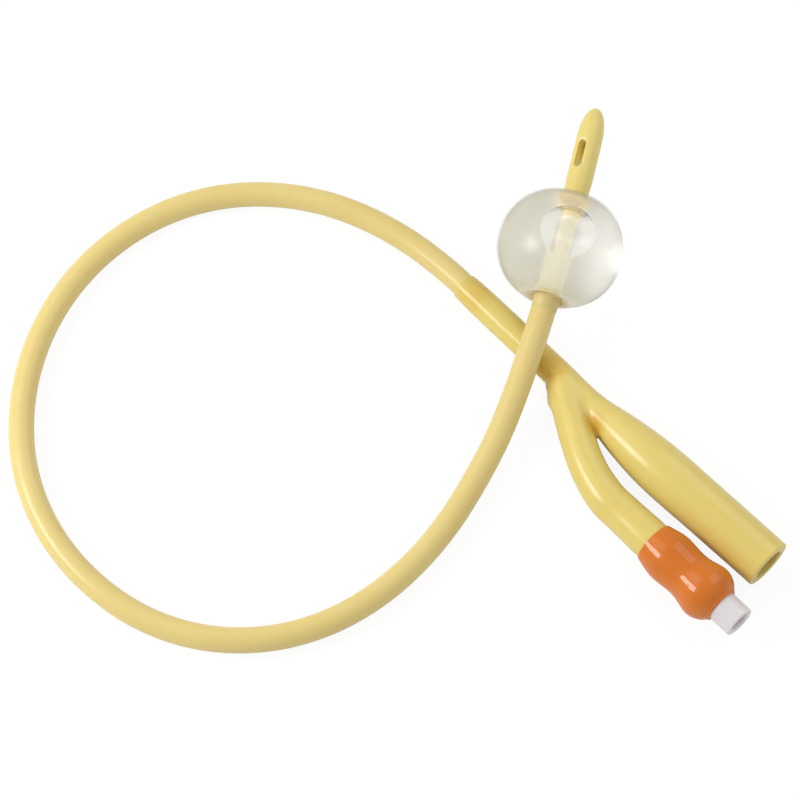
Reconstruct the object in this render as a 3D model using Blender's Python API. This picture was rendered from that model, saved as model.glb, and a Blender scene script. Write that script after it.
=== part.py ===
"""Foley urinary catheter, lying as it comes to rest, with its balloon filled.

The latex shaft runs in one open loop from the rounded tip, through the balloon and over the
neck of the Y-funnel, round to the socket in that neck. The Y-funnel splits into the drainage
funnel and the inflation arm, and the inflation arm holds a spring-loaded luer check valve
under a coloured sleeve.

Frame: metres, +Z up, on the plane that the catheter lies on. The origin is under the middle
of the whole outline. Every turned piece is drawn as (along, radius) rows round its own axis.
"""
import bisect
import math

import bmesh
import bpy
from mathutils import Matrix, Vector

MM = 0.001

# Gaps between pieces
FIT_GAP = 0.10 * MM          # between pieces that grip or slide on each other
FLUID_GAP = 0.25 * MM        # round the filling of the balloon
CROSS_GAP = 0.30 * MM        # between the shaft and the neck that it crosses

CURVE_PIECES = 24            # samples between two rows of a smoothed curve
SHARP_ANGLE = math.radians(35.0)

# Shaft: one latex extrusion with two lumens and a dipped tip
SHAFT_OD = 5.33 * MM
SHAFT_SIDES = 16
SHAFT_STEP = 7.5 * MM
ROUTE_STEP = 0.5 * MM
DRAIN_LUMEN = 2.80 * MM
DRAIN_OFFSET = 0.45 * MM
DRAIN_SIDES = 10
FILL_LUMEN = 0.64 * MM
FILL_OFFSET = 1.62 * MM
FILL_SIDES = 6
LUMEN_END = 0.5              # width of a lumen's closed end, as a share of its bore
SEAT_OD = 4.40 * MM          # the shaft is thinner under the balloon
SEAT_HALF = 6.60 * MM
SEAT_BLEND = 1.70 * MM
TIP_OD = 5.60 * MM
TIP_BLEND = 2.50 * MM
NOSE_LENGTH = 7.20 * MM
NOSE_BLUNTNESS = 2.2
NOSE_RINGS = 5
NOSE_WALL = 4.50 * MM
TIP_TURN = math.radians(2.0)

# Drainage eyes near the tip
EYE_LENGTH = 6.15 * MM
EYE_WIDTH = 2.10 * MM
EYE_FROM_TIP = 11.15 * MM
EYE_STAGGER = 2.50 * MM
EYE_ROLL = math.radians(28.0)
EYE_SIDES = 12

# Balloon
BALLOON_OD = 27.00 * MM
BALLOON_LENGTH = 25.20 * MM
BALLOON_FULLNESS = 2.12      # 2 would make the side view an ellipse
BALLOON_WALL = 0.35 * MM
BALLOON_X = 35.36 * MM
BALLOON_Y = 27.80 * MM
BALLOON_HEADING = math.radians(74.25)
BALLOON_PITCH = math.radians(9.0)
BALLOON_FROM_TIP = 32.20 * MM
BALLOON_SIDES = 28
BALLOON_RINGS = 9
RING_CROWDING = 1.5          # above 1, the rings crowd towards the dimples
BALLOON_RUN = (0.5, 0.0, -0.5, -1.0, -1.3)   # straight run, in half lengths from the middle
DIMPLE_DEPTH = 3.20 * MM     # at the pole towards the tip
NEAR_DIMPLE = 1.30 * MM      # at the other pole
DIMPLE_SPREAD = 1.10 * MM
CUFF_LENGTH = 2.60 * MM
CUFF_WALL = 0.22 * MM
PORT_LUMEN = 1.00 * MM

# Air bubble left at the top of the filling
BUBBLE_OD = 11.40 * MM
BUBBLE_DEPTH = 6.00 * MM
BUBBLE_HEADING = math.radians(-64.0)
BUBBLE_LEAN = math.radians(10.0)
BUBBLE_SIDES = 20
BUBBLE_RINGS = 8

# Y-funnel: neck and drainage funnel
NECK_X = 15.23 * MM
NECK_Y = 24.12 * MM
NECK_HEADING = math.radians(-47.13)
NECK_PITCH = math.radians(1.5)
NECK_OD = 6.30 * MM
NECK_CROSSED = 20.5 * MM      # where the shaft passes over it
COLLAR_EDGE = 0.18 * MM
COLLAR_TAPER = 5.00 * MM
SOCKET_DEPTH = 27.0 * MM
NECK_LENGTH = 39.2 * MM
CONE_LENGTH = 18.4 * MM
BARREL_LENGTH = 31.3 * MM
BARREL_OD = 11.02 * MM
CONE_OD = 9.20 * MM
CONE_TOP_OD = 11.00 * MM
MOUTH_OD = 10.90 * MM
FUNNEL_WALL = 1.90 * MM
CONE_SHIFT = -0.07 * MM      # how far the cone and the mouth lie off the line of the neck
MOUTH_SHIFT = 1.20 * MM
FUNNEL_SIDES = 24
FUNNEL_STEP = 4.0 * MM

# Y-funnel: inflation arm
ARM_START = 30.8 * MM
ARM_ANGLE = math.radians(31.0)
ARM_SPREAD = 12.42 * MM
ARM_START_OD = 7.20 * MM
ARM_START_ASIDE = 0.80 * MM
ARM_ROOT_OD = 7.65 * MM
ARM_OD = 8.30 * MM
ARM_END_OD = 8.75 * MM
ARM_BEND = 4.50 * MM         # run taken up by the bend on each side of its corner
ARM_BEND_RISE = (0.35, 0.55) # share of the arm's rise done before and after its bend
ARM_NOSE = 3.00 * MM         # rounded start of the arm, inside the neck
ARM_NOSE_RINGS = 4
WEB_LENGTH = 8.50 * MM       # web that fills the groove between the two branches
WEB_OD = 6.50 * MM
WEB_FULLNESS = 6             # the higher, the blunter its end
WEB_RINGS = 8
NUB_ALONG = 3.40 * MM        # small nub on the outer side of the arm's root
NUB_ASIDE = 2.90 * MM
NUB_LENGTH = 4.40 * MM
NUB_OD = 3.00 * MM
NUB_RINGS = 6
NUB_SIDES = 12
CHANNEL_BORE = 1.00 * MM
ARM_IN_SLEEVE = 7.00 * MM

# Valve, measured along its own axis from the near edge of the sleeve
VALVE_START = 69.5 * MM
VALVE_PITCH = math.radians(3.4)
SLEEVE_EDGE = 0.15 * MM
SLEEVE_WALL = 0.60 * MM
SLEEVE_LIP = 19.50 * MM
SLEEVE_STEP = 1.2 * MM
SLEEVE_OUTLINE = (
    (0.0, 4.60), (1.0, 4.85), (2.2, 5.14), (3.4, 5.38), (4.7, 5.50), (6.2, 5.40), (8.5, 5.20),
    (10.2, 5.22), (11.9, 5.45), (13.1, 5.78), (14.4, 6.05), (15.5, 6.05), (16.8, 5.74),
    (18.0, 5.12), (19.3, 4.05),
)
SKIRT_START = 7.40 * MM
SKIRT_OD = 8.20 * MM
FLANGE_START = 13.0 * MM
FLANGE_END = 16.6 * MM
FLANGE_OD = 10.2 * MM
LUER_START = 18.0 * MM
LUER_OD = 6.80 * MM
LUER_END = 24.4 * MM
LUER_BORE = 4.40 * MM
LUER_TAPER = 0.06            # change of bore for each unit of depth
CHAMBER_BORE = 6.60 * MM
SEAT = 16.2 * MM
SEAT_WALL = 0.80 * MM
SEAT_HOLE = 2.70 * MM

TAIL_START = -4.50 * MM
TAIL_OD = 4.40 * MM
TAIL_BORE = 1.80 * MM
TAIL_LEAD = 0.40 * MM
BARB_START = 1.50 * MM
BARB_END = 4.60 * MM
BARB_OD = 6.40 * MM
SPIGOT_END = 9.80 * MM
SPRING_SEAT = 8.60 * MM
SPRING_POCKET = 4.40 * MM

STEM_HEAD = 14.2 * MM
STEM_HEAD_THICK = 0.90 * MM
STEM_HEAD_OD = 4.80 * MM
STEM_OD = 1.90 * MM
STEM_TIP = 21.6 * MM
STEM_GUIDE_OD = 1.50 * MM
STEM_GUIDE_LENGTH = 3.60 * MM
SEAL_OD = 4.60 * MM

SPRING_MEAN_OD = 3.10 * MM
SPRING_WIRE = 0.36 * MM
SPRING_TURNS = 5
SPRING_STEPS = 12

TURNED_SIDES = 24
STEM_SIDES = 16

# The loop of the shaft on the table, in mm, from the crossing round to the neck. The third
# value is the share of the crossing's height that the shaft still has there.
LOOP = (
    (27.65, 3.2, 0.80), (23.55, -8.0, 0.43), (17.5, -20.1, 0.13), (11.0, -30.7, 0.015),
    (3.4, -39.9, 0.0), (-5.6, -47.5, 0.0), (-15.8, -52.75, 0.0), (-27.1, -55.3, 0.0),
    (-39.1, -54.7, 0.0), (-50.7, -50.65, 0.0), (-61.2, -43.2, 0.0), (-69.8, -33.0, 0.0),
    (-75.6, -20.3, 0.0), (-77.6, -6.3, 0.0), (-76.0, 7.6, 0.0), (-71.1, 20.4, 0.0),
    (-63.3, 31.3, 0.0), (-53.4, 39.5, 0.0), (-41.7, 44.8, 0.0), (-29.1, 46.5, 0.0),
    (-16.5, 44.85, 0.0), (-4.3, 39.95, 0.0), (6.85, 32.35, 0.015),
)


def clear_scene():
    """Remove every object that the file holds."""
    for thing in list(bpy.data.objects):
        bpy.data.objects.remove(thing, do_unlink=True)


def make_material(name, colour, roughness, metallic=0.0, transmission=0.0):
    """A Principled material."""
    material = bpy.data.materials.new(name)
    material.use_nodes = True
    shader = material.node_tree.nodes["Principled BSDF"]
    shader.inputs["Base Color"].default_value = (*colour, 1.0)
    shader.inputs["Roughness"].default_value = roughness
    shader.inputs["Metallic"].default_value = metallic
    shader.inputs["Transmission Weight"].default_value = transmission
    return material


def direction(heading, pitch):
    """Unit vector from a heading in the ground plane and a pitch above it."""
    return Vector((math.cos(heading) * math.cos(pitch),
                   math.sin(heading) * math.cos(pitch),
                   math.sin(pitch)))


def side_and_up(tangent):
    """The horizontal left-hand side of a tangent, and the direction above it."""
    side = Vector((0.0, 0.0, 1.0)).cross(tangent).normalized()
    return side, tangent.cross(side).normalized()


def axis_frame(point, tangent):
    """Matrix that puts local X on the left, local Y above and local Z along a tangent."""
    side, above = side_and_up(tangent)
    frame = Matrix((side, above, tangent)).transposed().to_4x4()
    frame.translation = point
    return frame


def smooth_rows(rows, step):
    """Catmull-Rom curve through rows of numbers, sampled at about equal steps in space."""
    ends = [2 * rows[0] - rows[1]] + list(rows) + [2 * rows[-1] - rows[-2]]
    fine = []
    for before, start, end, after in zip(ends, ends[1:], ends[2:], ends[3:]):
        knots = [0.0]
        for first, second in ((before, start), (start, end), (end, after)):
            knots.append(knots[-1] + math.sqrt((second - first).length))
        out_of = ((start - before) / (knots[1] - knots[0]) - (end - before) / (knots[2] - knots[0])
                  + (end - start) / (knots[2] - knots[1])) * (knots[2] - knots[1])
        into = ((end - start) / (knots[2] - knots[1]) - (after - start) / (knots[3] - knots[1])
                + (after - end) / (knots[3] - knots[2])) * (knots[2] - knots[1])
        for count in range(CURVE_PIECES):
            t = count / CURVE_PIECES
            fine.append(start * (2 * t**3 - 3 * t**2 + 1) + out_of * (t**3 - 2 * t**2 + t)
                        + end * (3 * t**2 - 2 * t**3) + into * (t**3 - t**2))
    fine.append(rows[-1].copy())
    return resample(fine, step)


def resample(points, step):
    """Points at equal steps along a polyline, ends kept."""
    lengths = [0.0]
    for first, second in zip(points, points[1:]):
        lengths.append(lengths[-1] + (second - first).length)
    count = max(2, round(lengths[-1] / step))
    picked = []
    place = 0
    for number in range(count + 1):
        target = lengths[-1] * number / count
        while place < len(points) - 2 and lengths[place + 1] < target:
            place += 1
        span = lengths[place + 1] - lengths[place]
        picked.append(points[place].lerp(points[place + 1], (target - lengths[place]) / span))
    return picked


def tangents_of(points):
    """Unit tangent at each point of a polyline."""
    ahead = points[1:] + [2 * points[-1] - points[-2]]
    behind = [2 * points[0] - points[1]] + points[:-1]
    return [(after - before).normalized() for before, after in zip(behind, ahead)]


def finish_object(name, data, material=None):
    """Make one object from a bmesh, faces turned out. Without a material it is a cutter."""
    bmesh.ops.recalc_face_normals(data, faces=data.faces)
    mesh = bpy.data.meshes.new(name)
    data.to_mesh(mesh)
    data.free()
    mesh.shade_smooth()
    mesh.set_sharp_from_angle(angle=SHARP_ANGLE)
    thing = bpy.data.objects.new(name, mesh)
    bpy.context.scene.collection.objects.link(thing)
    if material is None:
        hide_cutter(thing)
    else:
        mesh.materials.append(material)
    return thing


def hide_cutter(thing):
    """Show an object as wire only, and keep it out of renders."""
    thing.hide_render = True
    thing.display_type = "WIRE"


def loft(name, points, radii, sides, material=None, shift=0.0):
    """A round solid along points. A radius of nought closes an end in one vertex, and shift
    moves the section to the left of the run."""
    data = bmesh.new()
    rings = []
    for point, tangent, radius in zip(points, tangents_of(points), radii):
        side, above = side_and_up(tangent)
        middle = point + side * shift
        if radius <= 0.0:
            rings.append([data.verts.new(middle)])
            continue
        ring = []
        for number in range(sides):
            turn = 2 * math.pi * number / sides
            ring.append(data.verts.new(middle + side * (radius * math.cos(turn))
                                       + above * (radius * math.sin(turn))))
        rings.append(ring)
    for first, second in zip(rings, rings[1:]):
        for number in range(sides):
            after = (number + 1) % sides
            corners = [first[number % len(first)], first[after % len(first)],
                       second[after % len(second)], second[number % len(second)]]
            data.faces.new(list(dict.fromkeys(corners)))
    for ring in (rings[0], rings[-1]):
        if len(ring) > 1:
            data.faces.new(ring)
    return finish_object(name, data, material)


def turned(name, outline, sides, frame, material=None):
    """A solid of revolution from a closed outline of (along, radius) rows."""
    data = bmesh.new()
    columns = []
    for number in range(sides):
        turn = 2 * math.pi * number / sides
        column = []
        for place, (along, radius) in enumerate(outline):
            if radius <= 0.0 and number:
                column.append(columns[0][place])
            else:
                spot = (radius * math.cos(turn), radius * math.sin(turn), along)
                column.append(data.verts.new(spot))
        columns.append(column)
    for number in range(sides):
        here, there = columns[number], columns[(number + 1) % sides]
        for place in range(len(outline)):
            after = (place + 1) % len(outline)
            corners = list(dict.fromkeys((here[place], here[after], there[after], there[place])))
            if len(corners) > 2:
                data.faces.new(corners)
    thing = finish_object(name, data, material)
    thing.matrix_world = frame
    return thing


def combine(target, other, operation):
    """Add or subtract another solid with a Boolean, and hide that solid."""
    hide_cutter(other)
    modifier = target.modifiers.new(f"{operation.lower()}_{other.name}", "BOOLEAN")
    modifier.operation = operation
    modifier.solver = "EXACT"
    modifier.object = other


def balloon_axis():
    """Direction of the shaft through the balloon, towards the tip."""
    return direction(BALLOON_HEADING, BALLOON_PITCH)


def balloon_centre():
    """Middle of the balloon, which rests on the ground on its widest part."""
    half_width = BALLOON_OD / 2 * math.cos(BALLOON_PITCH)
    half_length = BALLOON_LENGTH / 2 * math.sin(BALLOON_PITCH)
    dual = BALLOON_FULLNESS / (BALLOON_FULLNESS - 1)
    return Vector((BALLOON_X, BALLOON_Y, (half_width**dual + half_length**dual) ** (1 / dual)))


def neck_point(along, left=0.0, height=None):
    """A point at or beside the neck's axis. Its height follows the pitch unless given."""
    heading = direction(NECK_HEADING, 0.0)
    side = side_and_up(heading)[0]
    point = Vector((NECK_X, NECK_Y, 0.0)) + heading * along + side * left
    point.z = NECK_OD / 2 + along * math.tan(NECK_PITCH) if height is None else height
    return point


def crossing_height():
    """Height of the shaft's axis where it passes over the neck."""
    return neck_point(NECK_CROSSED).z + NECK_OD / 2 + SHAFT_OD / 2 + CROSS_GAP


def tip_run():
    """Points of the shaft's axis from its end to the far pole of the balloon."""
    knee = balloon_centre() + balloon_axis() * (BALLOON_LENGTH / 2)
    third = (BALLOON_FROM_TIP - BALLOON_LENGTH / 2) / 3
    bend = knee + direction(BALLOON_HEADING + TIP_TURN / 2, BALLOON_PITCH) * third
    along = direction(BALLOON_HEADING + TIP_TURN, BALLOON_PITCH)
    return [bend + along * (2 * third), bend + along * third, bend, knee]


def shaft_route():
    """The smooth axis of the shaft, from its tip to its end in the neck."""
    centre, axis = balloon_centre(), balloon_axis()
    rows = tip_run()
    rows += [centre + axis * (BALLOON_LENGTH / 2 * share) for share in BALLOON_RUN]
    ground = SHAFT_OD / 2
    rise = crossing_height() - ground
    rows += [Vector((x * MM, y * MM, ground + rise * lift)) for x, y, lift in LOOP]
    rows += [neck_point(along) for along in (-3 * MM, 0.0, SOCKET_DEPTH / 2, SOCKET_DEPTH)]
    return smooth_rows(rows, ROUTE_STEP)


def lengths_along(points):
    """Distance of each point of a polyline from its start."""
    lengths = [0.0]
    for first, second in zip(points, points[1:]):
        lengths.append(lengths[-1] + (second - first).length)
    return lengths


def points_at(route, places):
    """The points of a polyline that lie at the given distances from its start."""
    lengths = lengths_along(route)
    picked = []
    for place in places:
        index = min(max(bisect.bisect_right(lengths, place) - 1, 0), len(route) - 2)
        share = (place - lengths[index]) / (lengths[index + 1] - lengths[index])
        picked.append(route[index] + (route[index + 1] - route[index]) * share)
    return picked


def even_places(start, end, step):
    """Distances at equal steps from start to end, both kept."""
    count = max(1, round((end - start) / step))
    return [start + (end - start) * number / count for number in range(count + 1)]


def tip_outline(place):
    """Outer radius of the shaft in its rounded nose."""
    share = 1 - place / NOSE_LENGTH
    return TIP_OD / 2 * (1 - share**NOSE_BLUNTNESS) ** (1 / NOSE_BLUNTNESS)


def build_shaft(latex):
    """The double-lumen shaft with its closed tip, two eyes and the port into the balloon."""
    route = shaft_route()
    end = lengths_along(route)[-1]
    blend = BALLOON_FROM_TIP - BALLOON_LENGTH / 2 - TIP_BLEND
    nose = [NOSE_LENGTH * (1 - math.cos(math.pi / 2 * number / NOSE_RINGS))
            for number in range(NOSE_RINGS)]
    seat = [BALLOON_FROM_TIP + side * reach for side, reach in
            ((-1, SEAT_HALF + SEAT_BLEND), (-1, SEAT_HALF), (1, SEAT_HALF), (1, SEAT_HALF + SEAT_BLEND))]
    tail = even_places(BALLOON_FROM_TIP + BALLOON_LENGTH / 2, end, SHAFT_STEP)
    places = nose + [NOSE_LENGTH, blend, blend + TIP_BLEND] + seat + tail
    radii = [tip_outline(place) for place in nose] + [TIP_OD / 2] * 2 + [SHAFT_OD / 2] * 2
    radii += [SEAT_OD / 2] * 2 + [SHAFT_OD / 2] * (len(tail) + 1)
    shaft = loft("catheter_shaft", points_at(route, places), radii, SHAFT_SIDES, latex)

    fill_start = BALLOON_FROM_TIP - PORT_LUMEN
    lumens = (("cut_drain_lumen", NOSE_WALL, DRAIN_LUMEN, DRAIN_OFFSET, DRAIN_SIDES),
              ("cut_fill_lumen", fill_start, FILL_LUMEN, -FILL_OFFSET, FILL_SIDES))
    for name, start, bore, shift, sides in lumens:
        runs = [start, start + bore / 2] + even_places(start + SHAFT_STEP, end, SHAFT_STEP)
        runs.append(end + bore)
        widths = [bore / 2 * LUMEN_END] + [bore / 2] * (len(runs) - 1)
        combine(shaft, loft(name, points_at(route, runs), widths, sides, shift=shift), "DIFFERENCE")

    combine(shaft, eye("cut_eye_upper", EYE_FROM_TIP, EYE_ROLL), "DIFFERENCE")
    combine(shaft, eye("cut_eye_lower", EYE_FROM_TIP + EYE_STAGGER, EYE_ROLL + math.pi),
            "DIFFERENCE")
    centre = balloon_centre()
    side = side_and_up(balloon_axis())[0]
    port = [centre + side * FILL_OFFSET, centre + side * SHAFT_OD]
    combine(shaft, loft("cut_port", port, [PORT_LUMEN / 2] * 2, FILL_SIDES), "DIFFERENCE")


def eye(name, from_tip, roll):
    """Cutter for a drainage eye: a slot with round ends, through one wall of the tip."""
    tip, behind = tip_run()[:2]
    along = (tip - behind).normalized()
    side, above = side_and_up(along)
    out = above * math.cos(roll) + side * math.sin(roll)
    across = out.cross(along)
    middle = tip - along * from_tip
    straight = (EYE_LENGTH - EYE_WIDTH) / 2
    data = bmesh.new()
    layers = []
    for depth in (0.0, TIP_OD):
        ring = []
        for number in range(EYE_SIDES):
            turn = 2 * math.pi * (number + 0.5) / EYE_SIDES
            reach = math.copysign(straight, math.sin(turn)) + EYE_WIDTH / 2 * math.sin(turn)
            spot = middle + out * depth + along * reach
            ring.append(data.verts.new(spot + across * (EYE_WIDTH / 2 * math.cos(turn))))
        layers.append(ring)
    for number in range(EYE_SIDES):
        after = (number + 1) % EYE_SIDES
        data.faces.new((layers[0][number], layers[0][after], layers[1][after], layers[1][number]))
    data.faces.new(layers[0])
    data.faces.new(layers[1])
    return finish_object(name, data)


def balloon_curve():
    """Outer skin of the balloon from one cuff to the other, with a dimple at each pole."""
    wide, long = BALLOON_OD / 2, BALLOON_LENGTH / 2
    cuff = SHAFT_OD / 2 + FIT_GAP + CUFF_WALL
    power = 2 / BALLOON_FULLNESS
    first = math.asin((cuff / wide) ** (1 / power))
    far, near = [], []
    for number in range(BALLOON_RINGS):
        turn = first + (math.pi / 2 - first) * (number / BALLOON_RINGS) ** RING_CROWDING
        radius = wide * math.sin(turn) ** power
        reach = long * math.cos(turn) ** power
        fall = math.exp((cuff - radius) / DIMPLE_SPREAD)
        far.append((reach - DIMPLE_DEPTH * fall, radius))
        near.append((NEAR_DIMPLE * fall - reach, radius))
    return far + [(0.0, wide)] + near[::-1]


def inset(curve, depth):
    """The curve moved towards the inside of the balloon, square to itself."""
    moved = []
    for place, (along, radius) in enumerate(curve):
        before = curve[max(place - 1, 0)]
        after = curve[min(place + 1, len(curve) - 1)]
        run, rise = after[0] - before[0], after[1] - before[1]
        size = math.hypot(run, rise)
        moved.append((along - depth * rise / size, radius + depth * run / size))
    return moved


def seam_places(outer, gap):
    """Where the inside of the skin meets the shaft at the far and the near pole, less a gap."""
    return outer[0][0] - 2 * BALLOON_WALL - gap, outer[-1][0] + 2 * BALLOON_WALL + gap


def build_balloon(rubber):
    """The balloon: one thin skin round the shaft, bonded to it by a cuff in each dimple."""
    outer = balloon_curve()
    inner = inset(outer, BALLOON_WALL)
    bond = SHAFT_OD / 2 + FIT_GAP
    cuff = bond + CUFF_WALL
    far, near = outer[0][0] + CUFF_LENGTH, outer[-1][0] - CUFF_LENGTH
    seams = seam_places(outer, 0.0)
    outline = [(far, cuff)] + outer + [(near, cuff), (near, bond), (seams[1], bond)]
    outline += inner[::-1] + [(seams[0], bond), (far, bond)]
    frame = axis_frame(balloon_centre(), balloon_axis())
    turned("balloon", outline, BALLOON_SIDES, frame, rubber)


def build_filling(water):
    """The sterile water in the balloon, round the shaft, with the air bubble at its top."""
    outer = inset(balloon_curve(), BALLOON_WALL + FLUID_GAP)
    core, seat = SHAFT_OD / 2 + FLUID_GAP, SEAT_OD / 2 + FLUID_GAP
    far, near = seam_places(balloon_curve(), FLUID_GAP)
    outline = [(near, core), (-SEAT_HALF - SEAT_BLEND, core), (-SEAT_HALF, seat),
               (SEAT_HALF, seat), (far, core)] + outer
    frame = axis_frame(balloon_centre(), balloon_axis())
    filling = turned("balloon_filling", outline, BALLOON_SIDES, frame, water)

    up = direction(BUBBLE_HEADING, math.pi / 2 - BUBBLE_LEAN)
    top = balloon_centre() + up * (BALLOON_OD / 2 - BUBBLE_DEPTH / 2)
    half = []
    for number in range(BUBBLE_RINGS + 1):
        turn = math.pi * number / BUBBLE_RINGS
        half.append((BUBBLE_DEPTH / 2 * math.cos(turn), BUBBLE_OD / 2 * math.sin(turn)))
    half[0] = (half[0][0], 0.0)
    half[-1] = (half[-1][0], 0.0)
    bubble = turned("cut_bubble", half, BUBBLE_SIDES, axis_frame(top, up))
    combine(filling, bubble, "DIFFERENCE")


def funnel_rows(inset_by, start_row):
    """Axis points and radii of the neck and the drainage funnel, less a wall."""
    far = NECK_LENGTH + CONE_LENGTH
    end = far + BARREL_LENGTH
    barrel_height = BARREL_OD / 2
    neck_height = neck_point(NECK_LENGTH).z
    middle = (neck_height + barrel_height) / 2
    rows = [start_row]
    shape = (
        (NECK_LENGTH, 0.0, neck_height, NECK_OD),
        (NECK_LENGTH + CONE_LENGTH / 2, CONE_SHIFT, middle, CONE_OD),
        (far, CONE_SHIFT, barrel_height, CONE_TOP_OD),
        (far + BARREL_LENGTH / 2, MOUTH_SHIFT / 2, barrel_height, BARREL_OD),
        (end, MOUTH_SHIFT, barrel_height, MOUTH_OD),
    )
    for along, left, height, width in shape:
        rows.append(Vector((*neck_point(along, left, height), width / 2 - inset_by)))
    return rows


def loft_rows(name, rows, step, sides, material=None):
    """A round solid through rows of axis point and radius, smoothed."""
    smooth = smooth_rows(rows, step)
    points = [row.to_3d() for row in smooth]
    return loft(name, points, [row.w for row in smooth], sides, material)


def build_funnel(latex):
    """The Y-funnel: neck, drainage funnel and inflation arm moulded as one piece."""
    collar = SHAFT_OD / 2 + FIT_GAP + COLLAR_EDGE
    outer = funnel_rows(0.0, Vector((*neck_point(SOCKET_DEPTH), NECK_OD / 2)))
    outer.insert(0, Vector((*neck_point(COLLAR_TAPER), NECK_OD / 2)))
    outer.insert(0, Vector((*neck_point(0.0), collar)))
    funnel = loft_rows("y_funnel", outer, FUNNEL_STEP, FUNNEL_SIDES, latex)
    combine(funnel, inflation_arm(), "UNION")
    combine(funnel, web(), "UNION")
    combine(funnel, arm_nub(), "UNION")

    socket = [neck_point(-SHAFT_OD), neck_point(SOCKET_DEPTH + FIT_GAP)]
    socket_radius = (SHAFT_OD / 2 + FIT_GAP) / math.cos(math.pi / FUNNEL_SIDES)
    combine(funnel, loft("cut_socket", socket, [socket_radius] * 2, FUNNEL_SIDES), "DIFFERENCE")

    start = Vector((*neck_point(SOCKET_DEPTH - FIT_GAP, DRAIN_OFFSET), DRAIN_LUMEN / 2))
    bore = funnel_rows(FUNNEL_WALL, start)
    bore[1].w = DRAIN_LUMEN / 2
    beyond = bore[-1] + (bore[-1] - bore[-2]) * (FUNNEL_WALL / BARREL_LENGTH)
    beyond.w = bore[-1].w
    drain = loft_rows("cut_drain", bore + [beyond], FUNNEL_STEP, FUNNEL_SIDES)
    combine(funnel, drain, "DIFFERENCE")

    leg = arm_leg()
    channel = [neck_point(SOCKET_DEPTH - FIT_GAP, -FILL_OFFSET), neck_point(ARM_START, -FILL_OFFSET),
               leg[0].lerp(leg[1], 0.5), leg[1], leg[2], valve_point(2 * TAIL_START)]
    channel = smooth_rows(channel, FUNNEL_STEP) + [valve_point(TAIL_START)]
    radii = [CHANNEL_BORE / 2] * len(channel)
    combine(funnel, loft("cut_channel", channel, radii, FILL_SIDES + 2), "DIFFERENCE")
    combine(funnel, turned("cut_tail", tail_seat(), TURNED_SIDES, valve_frame()), "DIFFERENCE")


def tail_seat():
    """Outline of the hole in the arm that the barbed tail fills."""
    start, narrow, wide = TAIL_START - FIT_GAP, TAIL_OD / 2 + FIT_GAP, BARB_OD / 2 + FIT_GAP
    return [(start, 0.0), (start, narrow), (BARB_START - FIT_GAP, narrow), (BARB_END, wide),
            (BARB_END + FIT_GAP, wide), (BARB_END + FIT_GAP, narrow), (SKIRT_START, narrow),
            (SKIRT_START, 0.0)]


def valve_axis():
    """Direction of the valve, out of the inflation arm."""
    return direction(NECK_HEADING, VALVE_PITCH)


def valve_point(along):
    """A point on the valve's axis. Both bulges of the sleeve rest on the ground."""
    height = max(radius * MM * math.cos(VALVE_PITCH) - place * MM * math.sin(VALVE_PITCH)
                 for place, radius in SLEEVE_OUTLINE)
    return neck_point(VALVE_START, -ARM_SPREAD, height) + valve_axis() * along


def valve_frame():
    """Frame of the turned pieces of the valve."""
    return axis_frame(valve_point(0.0), valve_axis())


def arm_leg():
    """The arm's first leg: where it leaves the neck, and the ends of its bend."""
    start = neck_point(ARM_START, -ARM_START_ASIDE)
    rise = valve_point(0.0).z - start.z
    corner = ARM_START + ARM_SPREAD / math.tan(ARM_ANGLE)
    back, aside = ARM_BEND * math.cos(ARM_ANGLE), ARM_BEND * math.sin(ARM_ANGLE)
    low, high = (start.z + rise * share for share in ARM_BEND_RISE)
    return [start, neck_point(corner - back, aside - ARM_SPREAD, low),
            neck_point(corner + ARM_BEND, -ARM_SPREAD, high)]


def inflation_arm():
    """Solid of the inflation arm, as far as its end under the sleeve."""
    start, into, out_of = arm_leg()
    rows = [Vector((*start, ARM_START_OD / 2)), Vector((*into, ARM_ROOT_OD / 2)),
            Vector((*out_of, ARM_OD / 2)), Vector((*valve_point(2 * TAIL_START), ARM_OD / 2)),
            Vector((*valve_point(TAIL_START / 2), ARM_END_OD / 2))]
    leg = (into - start).normalized()
    points, radii = [], []
    for number in range(ARM_NOSE_RINGS):
        turn = math.pi / 2 * number / ARM_NOSE_RINGS
        points.append(start - leg * (ARM_NOSE * math.cos(turn)))
        radii.append(ARM_START_OD / 2 * math.sin(turn))
    for row in smooth_rows(rows, FUNNEL_STEP):
        points.append(row.to_3d())
        radii.append(row.w)
    for along, radius in arm_end_outline():
        points.append(valve_point(along))
        radii.append(radius)
    return loft("add_arm", points, radii, TURNED_SIDES)


def web():
    """Solid of the web between the neck and the arm, where they part."""
    start, into = arm_leg()[:2]
    leg = (into - start).normalized()
    points, radii = [], []
    for number in range(WEB_RINGS + 1):
        share = number / WEB_RINGS
        reach = WEB_LENGTH * share
        points.append(neck_point(ARM_START + reach).lerp(start + leg * reach, 0.5))
        radii.append(WEB_OD / 2 * math.sqrt(1 - share**WEB_FULLNESS))
    return loft("add_web", points, radii, TURNED_SIDES)


def arm_nub():
    """Solid of the small round nub on the outer side of the arm's root."""
    start, into = arm_leg()[:2]
    leg = (into - start).normalized()
    middle = start + leg * NUB_ALONG - side_and_up(leg)[0] * NUB_ASIDE
    points, radii = [], []
    for number in range(NUB_RINGS + 1):
        turn = math.pi * number / NUB_RINGS
        points.append(middle - leg * (NUB_LENGTH / 2 * math.cos(turn)))
        radii.append(NUB_OD / 2 * math.sin(turn))
    radii[-1] = 0.0
    return loft("add_nub", points, radii, NUB_SIDES)


def sleeve_rows():
    """Smooth outer outline of the sleeve, in metres."""
    rows = [Vector((along * MM, radius * MM)) for along, radius in SLEEVE_OUTLINE]
    return [(row.x, row.y) for row in smooth_rows(rows, SLEEVE_STEP)]


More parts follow.
